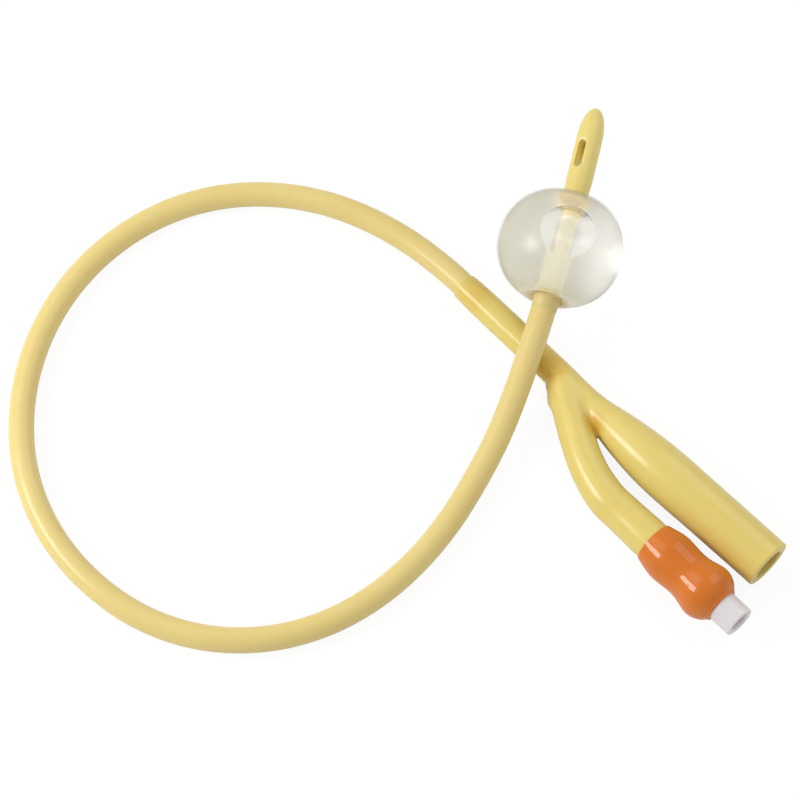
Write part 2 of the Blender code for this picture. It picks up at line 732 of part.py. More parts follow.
def arm_end_outline():
    """Outline of the arm where the sleeve covers it."""
    rows = []
    for along, radius in sleeve_rows():
        if along < ARM_IN_SLEEVE:
            share = min(1.0, along / BARB_END)
            wall = SLEEVE_EDGE + (SLEEVE_WALL - SLEEVE_EDGE) * share
            rows.append((along, radius - wall - FIT_GAP))
    rows.append((ARM_IN_SLEEVE, rows[-1][1]))
    return rows


def tail_outline():
    """Outside of the barbed tail, from its open end to the plate that closes the valve."""
    lead = TAIL_OD / 2 - TAIL_LEAD
    return [(TAIL_START, lead), (TAIL_START + TAIL_LEAD, TAIL_OD / 2), (BARB_START, TAIL_OD / 2),
            (BARB_END, BARB_OD / 2), (BARB_END, TAIL_OD / 2), (SKIRT_START + FIT_GAP, TAIL_OD / 2)]


def build_sleeve(rubber):
    """The coloured sleeve over the end of the arm and the body of the valve."""
    gap = FIT_GAP
    inner = [(along, radius + gap) for along, radius in arm_end_outline()]
    between = (ARM_IN_SLEEVE + SKIRT_START) / 2
    inner[-1] = (between, inner[-1][1])
    skirt, flange, luer = SKIRT_OD / 2 + gap, FLANGE_OD / 2 + gap, LUER_OD / 2 + gap
    inner += [(between, skirt), (FLANGE_START - gap, skirt), (FLANGE_START - gap, flange),
              (FLANGE_END + gap / 2, flange), (LUER_START + gap / 2, luer), (SLEEVE_LIP, luer)]
    outline = sleeve_rows() + inner[::-1]
    turned("valve_sleeve", outline, TURNED_SIDES, valve_frame(), rubber)


def build_valve(white, grey, rubber, steel):
    """The check valve: luer body, barbed tail, stem, seal and spring."""
    frame = valve_frame()
    chamber = CHAMBER_BORE / 2
    floor = SEAT + SEAT_WALL
    luer_foot = LUER_BORE / 2 - (LUER_END - floor) * LUER_TAPER / 2
    body = [(SKIRT_START, SKIRT_OD / 2), (FLANGE_START, SKIRT_OD / 2),
            (FLANGE_START, FLANGE_OD / 2), (FLANGE_END, FLANGE_OD / 2),
            (LUER_START, LUER_OD / 2), (LUER_END, LUER_OD / 2), (LUER_END, LUER_BORE / 2),
            (floor, luer_foot), (floor, SEAT_HOLE / 2), (SEAT, SEAT_HOLE / 2), (SEAT, chamber),
            (SKIRT_START, chamber)]
    turned("valve_body", body, TURNED_SIDES, frame, white)

    spigot = chamber - FIT_GAP
    tail = tail_outline() + [(SKIRT_START + FIT_GAP, spigot), (SPIGOT_END, spigot),
                             (SPIGOT_END, SPRING_POCKET / 2), (SPRING_SEAT, SPRING_POCKET / 2),
                             (SPRING_SEAT, TAIL_BORE / 2), (TAIL_START, TAIL_BORE / 2)]
    turned("valve_tail", tail, TURNED_SIDES, frame, white)

    head_top = STEM_HEAD + STEM_HEAD_THICK
    foot = STEM_HEAD - STEM_GUIDE_LENGTH
    stem = [(foot, 0.0), (foot, STEM_GUIDE_OD / 2), (STEM_HEAD, STEM_GUIDE_OD / 2),
            (STEM_HEAD, STEM_HEAD_OD / 2), (head_top, STEM_HEAD_OD / 2), (head_top, STEM_OD / 2),
            (STEM_TIP, STEM_OD / 2), (STEM_TIP, 0.0)]
    turned("valve_stem", stem, STEM_SIDES, frame, grey)
    hole = STEM_OD / 2 + FIT_GAP
    seal = [(head_top + FIT_GAP, hole), (head_top + FIT_GAP, SEAL_OD / 2),
            (SEAT - FIT_GAP, SEAL_OD / 2), (SEAT - FIT_GAP, hole)]
    turned("valve_seal", seal, STEM_SIDES, frame, rubber)

    wire = SPRING_WIRE / 2
    low, high = SPRING_SEAT + FIT_GAP + wire, STEM_HEAD - FIT_GAP - wire
    points = []
    for number in range(SPRING_TURNS * SPRING_STEPS + 1):
        turn = 2 * math.pi * number / SPRING_STEPS
        along = low + (high - low) * number / (SPRING_TURNS * SPRING_STEPS)
        spread = SPRING_MEAN_OD / 2
        points.append(Vector((spread * math.cos(turn), spread * math.sin(turn), along)))
    spring = loft("valve_spring", points, [wire] * len(points), FILL_SIDES, steel)
    spring.matrix_world = frame


def main():
    """Build the whole catheter."""
    clear_scene()
    latex = make_material("yellow_latex", (0.80, 0.58, 0.20), 0.35)
    clear_rubber = make_material("clear_rubber", (0.80, 0.77, 0.66), 0.25, transmission=0.8)
    water = make_material("water", (0.90, 0.93, 0.93), 0.02, transmission=1.0)
    orange = make_material("orange_rubber", (0.70, 0.17, 0.02), 0.15)
    white = make_material("white_plastic", (0.75, 0.74, 0.74), 0.30)
    grey = make_material("grey_plastic", (0.55, 0.56, 0.57), 0.35)
    black_rubber = make_material("black_rubber", (0.03, 0.03, 0.03), 0.50)
    steel = make_material("spring_steel", (0.60, 0.60, 0.62), 0.25, metallic=1.0)
    build_shaft(latex)
    build_balloon(clear_rubber)
    build_filling(water)
    build_funnel(latex)
    build_sleeve(orange)
    build_valve(white, grey, black_rubber, steel)


main()
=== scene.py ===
"""Looks of the foley urinary catheter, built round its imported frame.

Lengths are in metres, in the frame of the CAD: +Z up from the plane that the catheter lies on.
Rows of numbers in millimetres repeat the places and sizes of the CAD pieces.
"""

import math

import bmesh
import bpy
import numpy as np
from mathutils import Matrix, Vector


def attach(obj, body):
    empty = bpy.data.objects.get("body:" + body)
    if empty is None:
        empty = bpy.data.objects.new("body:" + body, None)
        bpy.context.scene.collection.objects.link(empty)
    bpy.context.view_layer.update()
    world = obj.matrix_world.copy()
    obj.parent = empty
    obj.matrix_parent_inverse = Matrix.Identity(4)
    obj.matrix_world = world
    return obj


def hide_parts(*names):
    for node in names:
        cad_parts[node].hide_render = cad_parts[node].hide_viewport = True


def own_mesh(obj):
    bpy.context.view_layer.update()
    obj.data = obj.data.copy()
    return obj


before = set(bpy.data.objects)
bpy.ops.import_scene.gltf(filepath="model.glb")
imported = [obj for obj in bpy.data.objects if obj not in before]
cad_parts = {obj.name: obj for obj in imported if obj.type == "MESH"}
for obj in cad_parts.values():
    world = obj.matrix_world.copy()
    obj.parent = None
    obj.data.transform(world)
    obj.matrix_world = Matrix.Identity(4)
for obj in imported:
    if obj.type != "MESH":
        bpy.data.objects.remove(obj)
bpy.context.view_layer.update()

MM = 0.001
SCENE = bpy.context.scene

# Steps along smooth curves
FINE_STEP = 0.25 * MM
COARSE_STEP = 1.0 * MM
CURVE_PARTS = 48

# Camera
CAMERA_TILT = math.radians(24.0)
CAMERA_DISTANCE = 0.620
CAMERA_LENS = 132.416
SENSOR = 36.0
CAMERA_AIM = Vector((1.55, -1.05, 0.0)) * MM

# Shaft
SHAFT_R = 2.665 * MM
TIP_R = 2.80 * MM
NOSE_LENGTH = 7.2 * MM
NOSE_BLUNTNESS = 2.2
TIP_END = 16.8 * MM
TIP_BLEND = 2.5 * MM
SEAT_R = 2.20 * MM
SEAT_HALF = 6.6 * MM
SEAT_BLEND = 1.7 * MM
ROUTE = (
    (43.45, 58.55, 18.56), (42.74, 55.68, 18.09), (42.04, 52.80, 17.62), (40.64, 47.04, 16.68),
    (38.84, 40.16, 15.56), (37.16, 34.17, 14.57), (35.47, 28.18, 13.58), (33.78, 22.19, 12.60),
    (32.09, 16.20, 11.61), (29.19, 7.31, 9.56), (25.73, -2.31, 7.00), (21.79, -11.85, 4.96),
    (16.95, -21.09, 3.47), (11.46, -30.05, 2.80), (4.92, -38.30, 2.67), (-2.79, -45.46, 2.66),
    (-11.72, -51.02, 2.67), (-21.65, -54.46, 2.67), (-32.11, -55.45, 2.67), (-42.50, -53.88, 2.67),
    (-52.20, -49.83, 2.67), (-60.71, -43.65, 2.67), (-67.81, -35.89, 2.67), (-73.15, -26.83, 2.67),
    (-76.46, -16.85, 2.67), (-77.60, -6.39, 2.67), (-76.74, 4.09, 2.67), (-73.92, 14.23, 2.67),
    (-69.21, 23.63, 2.67), (-62.72, 31.91, 2.67), (-54.67, 38.68, 2.66), (-45.36, 43.56, 2.66),
    (-35.17, 46.12, 2.67), (-24.65, 46.29, 2.67), (-14.34, 44.23, 2.66), (-4.65, 40.13, 2.66),
    (4.19, 34.42, 2.72), (12.07, 27.46, 3.02), (19.27, 19.77, 3.31), (26.43, 12.05, 3.58),
    (33.60, 4.33, 3.86),
)
COLLAR = Vector((15.23, 24.12, 3.15)) * MM
COLLAR_R = 2.95 * MM
SOCKET_R = 2.72 * MM
SOCKET_LENGTH = 27.1 * MM

# Eyes
EYE_FROM_TIP = 11.15 * MM
EYE_STAGGER = 2.5 * MM
EYE_LENGTH = 6.15 * MM
EYE_WIDTH = 1.8 * MM
EYE_STRAIGHT = (EYE_LENGTH - EYE_WIDTH) / 2
EYE_ROLL = math.radians(28.0)
EYE_LIP = 0.30 * MM
EYE_LIP_REACH = 0.75 * MM

# Lumens
DRAIN_R = 1.40 * MM
DRAIN_OFFSET = 0.45 * MM
DRAIN_START = 4.5 * MM
FILL_R = 0.32 * MM
FILL_OFFSET = 1.62 * MM
FILL_START = 31.2 * MM

# Y-funnel: rows of x, y and z in mm, with the radius where it changes
FUNNEL_ROWS = (
    (15.23, 24.12, 3.15, 2.95), (18.63, 20.46, 3.28, 3.15), (33.60, 4.33, 3.86, 3.15),
    (41.90, -4.61, 4.18, 3.15), (48.11, -11.40, 4.84, 4.60), (54.37, -18.14, 5.51, 5.50),
    (65.50, -29.16, 5.51, 5.51), (76.59, -40.22, 5.51, 5.45),
)
BORE_ROWS = (
    (33.86, 4.71, 3.85, 1.40), (41.90, -4.61, 4.18, 1.40), (48.11, -11.40, 4.84, 2.70),
    (54.37, -18.14, 5.51, 3.60), (65.50, -29.16, 5.51, 3.61), (76.59, -40.22, 5.51, 3.55),
)
ARM_ROWS = (
    (35.60, 1.00, 3.96, 3.60), (40.22, -17.65, 4.40, 3.83), (44.21, -25.35, 4.65, 4.12),
    (47.30, -28.68, 4.68, 4.14), (51.88, -33.62, 5.08, 4.31),
)
CHANNEL_ROWS = (
    (32.34, 3.30, 3.85), (35.00, 0.44, 3.96), (37.91, -8.32, 4.18), (40.22, -17.65, 4.40),
    (44.21, -25.35, 4.65), (47.30, -28.68, 4.68), (50.36, -31.97, 4.95),
)
CHANNEL_R = 0.5 * MM
ARM_LEG = Vector((0.2404, -0.9704, 0.0229))
WEB_START = Vector((35.89, 1.28, 3.96)) * MM
WEB_END = Vector((39.80, -5.96, 4.17)) * MM
WEB_R = 3.45 * MM
NUB = Vector((33.85, -3.15, 4.10)) * MM
NUB_LENGTH = 6.0 * MM
NUB_R = 1.50 * MM
# Golden places of the funnel, in deep gold: painted shade in the fork and under the crossing shaft, and a
# deeper golden tone at the neck's start: centre, full within, none beyond, share
PAINTED_SHADE_AND_GOLD_SPOTS = (
    # painted shade in the fork between the two branches
    (Vector((41.8, -9.2, 5.8)) * MM, 1.0 * MM, 4.2 * MM, 0.8),
    # painted shadow of the crossing shaft on the neck
    (Vector((32.5, 3.2, 6.0)) * MM, 1.5 * MM, 5.5 * MM, 0.65),
    # deeper golden tone at the start of the neck
    (Vector((17.9, 21.6, 5.2)) * MM, 1.5 * MM, 6.5 * MM, 0.4),
)
VOXEL = 0.28 * MM
RIM_ROUND = 0.28 * MM

# Valve: rows of distance along its axis and radius in mm
VALVE_ORIGIN = Vector((53.411, -35.266, 5.212)) * MM
VALVE_AXIS = Vector((0.67914, -0.731609, 0.059306))
ARM_END = (
    (0.0, 4.350), (1.15, 4.524), (2.3, 4.687), (3.45, 4.800), (4.65, 4.799), (5.8, 4.734), (7.0, 4.627),
)
TAIL_SEAT = (
    (-4.6, 0.0), (-4.6, 2.3), (1.4, 2.3), (4.6, 3.3), (4.7, 3.3), (4.7, 2.3), (7.5, 2.3), (7.5, 0.0),
)
SLEEVE_ROWS = (
    (0.0, 4.60), (1.0, 4.85), (2.2, 5.14), (3.4, 5.40), (4.7, 5.54), (6.2, 5.44), (8.5, 5.22),
    (10.2, 5.20), (11.9, 5.45), (13.1, 5.80), (14.4, 6.10), (15.5, 6.10), (16.8, 5.75),
    (18.0, 5.02), (18.9, 4.05),
)
SLEEVE_SMOOTHING = 14
LUER_R = 3.40 * MM
COIL_R = 1.55 * MM
COIL_SPAN = (8.88, 13.92)
COIL_TURNS = 5
WIRE_R = 0.18 * MM

# Balloon
BALLOON_PLACE = 32.20 * MM
BALLOON_CENTRE = Vector((35.36, 27.80, 13.522)) * MM
BALLOON_AXIS = Vector((0.268099, 0.950606, 0.156434))
BALLOON_R = 13.50 * MM
BALLOON_HALF = 12.60 * MM
BALLOON_FULLNESS = 2.12
BALLOON_WALL = 0.35 * MM
FAR_DIMPLE = 3.20 * MM
NEAR_DIMPLE = 1.30 * MM
DIMPLE_SPREAD = 1.10 * MM
CUFF_R = 2.985 * MM
CUFF_LENGTH = 2.6 * MM
BUBBLE_R = 5.70 * MM
BUBBLE_DEPTH = 3.4 * MM
BUBBLE_HEADING = math.radians(-64.0)
BUBBLE_LEAN = math.radians(10.0)
# Places that the balloon's colours go by: the middle of the side with painted light, the far shoulder and
# the bubble's middle
PAINTED_LIGHT_SIDE = BALLOON_CENTRE + Vector((12.0, -4.5, 5.0)) * MM
FAR_SHOULDER = BALLOON_CENTRE + Vector((1.7, 5.3, 12.3)) * MM
BUBBLE_MIDDLE = BALLOON_CENTRE + Vector((0.86, -1.77, 11.2)) * MM

# Colours: a pair is the darker and the lighter tone of a faint cloudiness
SHAFT_TONES = (0.748, 0.590, 0.207), (0.788, 0.640, 0.250)
# Painted light: the shaft pale inside the water, and its painted glow there
SHAFT_PAINTED_LIGHT_IN_WATER = (0.97, 0.94, 0.83)
SHAFT_PAINTED_GLOW = (0.97, 0.90, 0.70)
SHAFT_CROWN = (0.80, 0.668, 0.205)
# Painted light on the walls of the lumen behind the tip's eyes
LUMEN_PAINTED_LIGHT = (1.0, 0.84, 0.30)
FUNNEL_TONES = (0.76, 0.60, 0.165), (0.80, 0.645, 0.20)
# Painted shade colour for the funnel's fork and crossing, also the golden tone at its neck's start
PAINTED_SHADE_AND_NECK_GOLD = (0.68, 0.40, 0.03)
ORANGE_TONES = (0.66, 0.165, 0.006), (0.72, 0.195, 0.012)
WHITE_TONES = (0.73, 0.69, 0.695), (0.79, 0.745, 0.75)
GREY_TONES = (0.50, 0.51, 0.52), (0.58, 0.59, 0.60)
BLACK_TONES = (0.025, 0.025, 0.025), (0.04, 0.04, 0.04)
STEEL_TONES = (0.50, 0.50, 0.51), (0.62, 0.62, 0.63)
FILM_TONES = (0.49, 0.455, 0.305), (0.54, 0.505, 0.355)
FILM_AT_POLES = (0.49, 0.43, 0.22)
# Painted light: the film near white on the side where the water focuses light
FILM_PAINTED_LIGHT = (0.92, 0.90, 0.82)
GATHERED = (0.92, 0.82, 0.57)
SHOULDER = (0.80, 0.66, 0.41)
CUFF = (0.93, 0.78, 0.38)
CUFF_SLEEVE = (0.785, 0.632, 0.24)
# Painted light: the water's tint lighter on that side
WATER_PAINTED_LIGHT = (0.905, 0.897, 0.845)
WATER_CLOUDY = (0.895, 0.885, 0.81)
# Painted highlight: the water whiter in a ring round the bubble
WATER_RING_PAINTED_HIGHLIGHT = (0.985, 0.98, 0.955)
WATER_SHADOW = (0.99, 0.985, 0.97)

# Stage
FLOOR_HALF = 3.0
FLOOR_GAP = 0.02 * MM
PAPER = (0.86, 0.86, 0.86)
FLOOR_GLOW = 1.05
FLOOR_GLOW_SHARE = 0.86
# The world's strength as a light, and as it is seen
WORLD_STRENGTHS = (0.60, 1.0)
# Lamps: name, place, aim, size, watts and the way that the second size lies
LAMPS = (
    ("key", (-0.435, -0.040, 0.319), (0.03, 0.0, 0.0), (0.19, 0.23), 1.35, (0.132, -0.27, 0.19)),
    ("soft", (-0.30, 0.25, 0.42), (0.0, 0.0, 0.0), (0.34, 0.34), 0.35, (0.0, 0.0, 1.0)),
    ("fill", (0.33, 0.24, 0.42), (0.02, 0.02, 0.0), (0.40, 0.40), 0.55, (0.0, 0.0, 1.0)),
)


def side_and_up(tangent):
    """Horizontal left-hand side of a tangent, and the direction above it."""
    side = Vector((0.0, 0.0, 1.0)).cross(tangent).normalized()
    return side, tangent.cross(side).normalized()


def axis_frame(point, tangent):
    """Matrix that puts local Z along a tangent and local Y above it."""
    side, above = side_and_up(tangent)
    matrix = Matrix((side, above, tangent)).transposed().to_4x4()
    matrix.translation = point
    return matrix


def lengths_along(points):
    """Distance of each point of a polyline from its start."""
    lengths = [0.0]
    for first, second in zip(points, points[1:]):
        lengths.append(lengths[-1] + (second - first).length)
    return lengths


def resample(points, step):
    """Points at equal steps along a polyline, ends kept."""
    length = lengths_along(points)[-1]
    count = max(2, round(length / step))
    return points_at(points, [length * number / count for number in range(count + 1)])


def points_at(points, places):
    """The points of a polyline at the given distances from its start."""
    lengths = lengths_along(points)
    picked, index = [], 0
    for place in places:
        while index < len(points) - 2 and lengths[index + 1] < place:
            index += 1
        share = (place - lengths[index]) / (lengths[index + 1] - lengths[index])
        picked.append(points[index] + (points[index + 1] - points[index]) * share)
    return picked


def smooth_rows(rows, step):
    """Centripetal cubic curve through rows of numbers in mm, in metres at equal steps."""
    rows = [Vector(row) * MM for row in rows]
    ends = [2 * rows[0] - rows[1]] + rows + [2 * rows[-1] - rows[-2]]
    fine = []
    for before, start, end, after in zip(ends, ends[1:], ends[2:], ends[3:]):
        knots = [0.0]
        for first, second in ((before, start), (start, end), (end, after)):
            knots.append(knots[-1] + math.sqrt((second - first).length))
        out_of = ((start - before) / (knots[1] - knots[0]) - (end - before) / (knots[2] - knots[0])
                  + (end - start) / (knots[2] - knots[1])) * (knots[2] - knots[1])
        into = ((end - start) / (knots[2] - knots[1]) - (after - start) / (knots[3] - knots[1])
                + (after - end) / (knots[3] - knots[2])) * (knots[2] - knots[1])
        for count in range(CURVE_PARTS):
            t = count / CURVE_PARTS
            fine.append(start * (2 * t**3 - 3 * t**2 + 1) + out_of * (t**3 - 2 * t**2 + t)
                        + end * (3 * t**2 - 2 * t**3) + into * (t**3 - t**2))
    fine.append(rows[-1].copy())
    return resample(fine, step)


def tangents_of(points):
    """Unit tangent at each point of a polyline."""
    ahead = points[1:] + [2 * points[-1] - points[-2]]
    behind = [2 * points[0] - points[1]] + points[:-1]
    return [(after - before).normalized() for before, after in zip(behind, ahead)]


def new_object(name, data, sharp=40.0):
    """Make one smooth-shaded object from a bmesh."""
    bmesh.ops.recalc_face_normals(data, faces=data.faces)
    mesh = bpy.data.meshes.new(name)
    data.to_mesh(mesh)
    data.free()
    mesh.shade_smooth()
    if sharp:
        mesh.set_sharp_from_angle(angle=math.radians(sharp))
    thing = bpy.data.objects.new(name, mesh)
    SCENE.collection.objects.link(thing)
    return thing


def loft(name, points, radii, sides, shift=0.0):
    """A round solid along points, its middle moved sideways by shift."""
    data = bmesh.new()
    rings = []
    for point, tangent, radius in zip(points, tangents_of(points), radii):
        side, above = side_and_up(tangent)
        middle = point + side * shift
        if radius <= 0.0:
            rings.append([data.verts.new(middle)])
            continue
        ring = []
        for number in range(sides):
            turn = 2 * math.pi * number / sides
            out = side * math.cos(turn) + above * math.sin(turn)
            ring.append(data.verts.new(middle + out * radius))
        rings.append(ring)
    for first, second in zip(rings, rings[1:]):
        for number in range(sides):
            after = (number + 1) % sides
            corners = [first[number % len(first)], first[after % len(first)],
                       second[after % len(second)], second[number % len(second)]]
            data.faces.new(list(dict.fromkeys(corners)))
    for ring in (rings[0], rings[-1]):
        if len(ring) > 1:
            data.faces.new(ring)
    return new_object(name, data)


def turned(name, outline, sides, matrix, sharp=40.0):
    """A solid of revolution from a closed outline of (along, radius) rows in metres."""
    data = bmesh.new()
    columns = []
    for number in range(sides):
        turn = 2 * math.pi * number / sides
        column = []
        for place, (along, radius) in enumerate(outline):
            if radius <= 0.0 and number:
                column.append(columns[0][place])
                continue
            column.append(data.verts.new((radius * math.cos(turn), radius * math.sin(turn), along)))
        columns.append(column)
    for number in range(sides):
        here, there = columns[number], columns[(number + 1) % sides]
        for place in range(len(outline)):
            after = (place + 1) % len(outline)
            corners = list(dict.fromkeys((here[place], here[after], there[after], there[place])))
            if len(corners) > 2:
                data.faces.new(corners)
    data.transform(matrix)
    return new_object(name, data, sharp)


def apply_modifiers(thing, sharp=40.0):
    """Turn an object's modifiers into its mesh."""
    bpy.context.view_layer.update()
    graph = bpy.context.evaluated_depsgraph_get()
    mesh = bpy.data.meshes.new_from_object(thing.evaluated_get(graph))
    thing.modifiers.clear()
    thing.data = mesh
    mesh.shade_smooth()
    if sharp:
        mesh.set_sharp_from_angle(angle=math.radians(sharp))


def cut(target, cutters, operation="DIFFERENCE", sharp=40.0):
    """Boolean the cutters into the target, and remove them."""
    for cutter in cutters:
        modifier = target.modifiers.new(cutter.name, "BOOLEAN")
        modifier.operation = operation
        modifier.solver = "EXACT"
        modifier.object = cutter
    apply_modifiers(target, sharp)
    for cutter in cutters:
        bpy.data.objects.remove(cutter, do_unlink=True)


def set_camera():
    """The camera, at the photograph's angle."""
    data = bpy.data.cameras.new("camera")
    data.sensor_width = SENSOR
    data.lens = CAMERA_LENS
    data.clip_start = 0.01
    data.clip_end = 10.0
    camera = bpy.data.objects.new("camera", data)
    SCENE.collection.objects.link(camera)
    back = Vector((0.0, -math.sin(CAMERA_TILT), math.cos(CAMERA_TILT)))
    camera.location = CAMERA_AIM + back * CAMERA_DISTANCE
    camera.rotation_euler = (CAMERA_TILT, 0.0, 0.0)
    SCENE.camera = camera


def eye_axes(route, roll):
    """Directions along, out of and across an eye in the straight tip."""
    along = (route[0] - route[12]).normalized()
    side, above = side_and_up(along)
    out = above * math.cos(roll) + side * math.sin(roll)
    return along, out, out.cross(along)


def eye_cutter(name, route, from_tip, roll):
    """Slot with round ends, through one wall of the tip."""
    along, out, across = eye_axes(route, roll)
    middle = route[0] - along * from_tip
    data = bmesh.new()
    layers = []
    for depth in (-0.25 * MM, 2.2 * TIP_R):
        ring = []
        for number in range(40):
            turn = 2 * math.pi * (number + 0.5) / 40
            reach = math.copysign(EYE_STRAIGHT, math.sin(turn)) + EYE_WIDTH / 2 * math.sin(turn)
            spot = middle + out * depth + along * reach
            ring.append(data.verts.new(spot + across * (EYE_WIDTH / 2 * math.cos(turn))))
        layers.append(ring)
    for number in range(40):
        after = (number + 1) % 40
        data.faces.new((layers[0][number], layers[0][after], layers[1][after], layers[1][number]))
    data.faces.new(layers[0])
    data.faces.new(layers[1])
    return new_object(name, data)


def eased(share):
    """A share, held within 0..1 and smoothed at both ends."""
    share = min(1.0, max(0.0, share))
    return share * share * (3 - 2 * share)


def shaft_radius(place):
    """Outer radius of the shaft at a distance from the tip: it is thinner under the balloon."""
    if place < NOSE_LENGTH:
        share = 1 - place / NOSE_LENGTH
        return TIP_R * (1 - share**NOSE_BLUNTNESS) ** (1 / NOSE_BLUNTNESS)
    radius = TIP_R + (SHAFT_R - TIP_R) * eased((place - TIP_END) / TIP_BLEND)
    seat = eased(1 - (abs(place - BALLOON_PLACE) - SEAT_HALF) / SEAT_BLEND)
    return radius - (SHAFT_R - SEAT_R) * seat


def build_shaft():
    """The shaft: a fine tube with soft-lipped eyes, and its two lumens."""
    route = smooth_rows(ROUTE, FINE_STEP)
    length = FINE_STEP * (len(route) - 1)
    nose = [NOSE_LENGTH * (1 - math.cos(math.pi / 2 * number / 16)) for number in range(16)]
    tip = list(np.arange(NOSE_LENGTH, 45.0 * MM, 0.35 * MM))
    rest = list(np.linspace(tip[-1] + 0.7 * MM, length, 240))
    places = nose + tip + rest

    shaft = loft("shaft", points_at(route, places), [shaft_radius(place) for place in places], 48)
    eyes = ((EYE_FROM_TIP, EYE_ROLL), (EYE_FROM_TIP + EYE_STAGGER, EYE_ROLL + math.pi))
    # The skin sinks a little towards the edge of each eye
    for from_tip, roll in eyes:
        along, out, across = eye_axes(route, roll)
        middle = route[0] - along * from_tip
        for vertex in shaft.data.vertices:
            offset = vertex.co - middle
            if offset.length > 8 * MM or offset.dot(out) < 0.0:
                continue
            run = max(abs(offset.dot(along)) - EYE_STRAIGHT, 0.0)
            gap = math.hypot(run, offset.dot(across)) - EYE_WIDTH / 2
            if gap < EYE_LIP_REACH:
                vertex.co -= out * EYE_LIP * (1 - max(gap, 0.0) / EYE_LIP_REACH) ** 2
    cutters = [eye_cutter(f"eye_{number}", route, *eye) for number, eye in enumerate(eyes)]
    for name, start, radius, shift in (("drain", DRAIN_START, DRAIN_R, DRAIN_OFFSET),
                                       ("fill", FILL_START, FILL_R, -FILL_OFFSET)):
        runs = list(np.arange(start, length - 1.0 * MM, 1.5 * MM)) + [length + 2 * MM]
        radii = [radius / 2] + [radius] * (len(runs) - 1)
        cutters.append(loft(f"lumen_{name}", points_at(route, runs), radii, 20, shift))
    cut(cutters[0], cutters[1:], "UNION")
    cut(shaft, cutters[:1])
    path = points_at(route, list(np.linspace(0.0, length, 160)))
    return shaft, [tuple(point) for point in reversed(path)]


def soften(thing, centre, reach, iterations):
    """Smooth a mesh, most near a centre."""
    group = thing.vertex_groups.new(name="soft")
    for vertex in thing.data.vertices:
        group.add([vertex.index], eased(1 - (vertex.co - centre).length / reach), "REPLACE")
    modifier = thing.modifiers.new("soft", "SMOOTH")
    modifier.factor = 0.5
    modifier.iterations = iterations
    modifier.vertex_group = "soft"
    apply_modifiers(thing, 0.0)


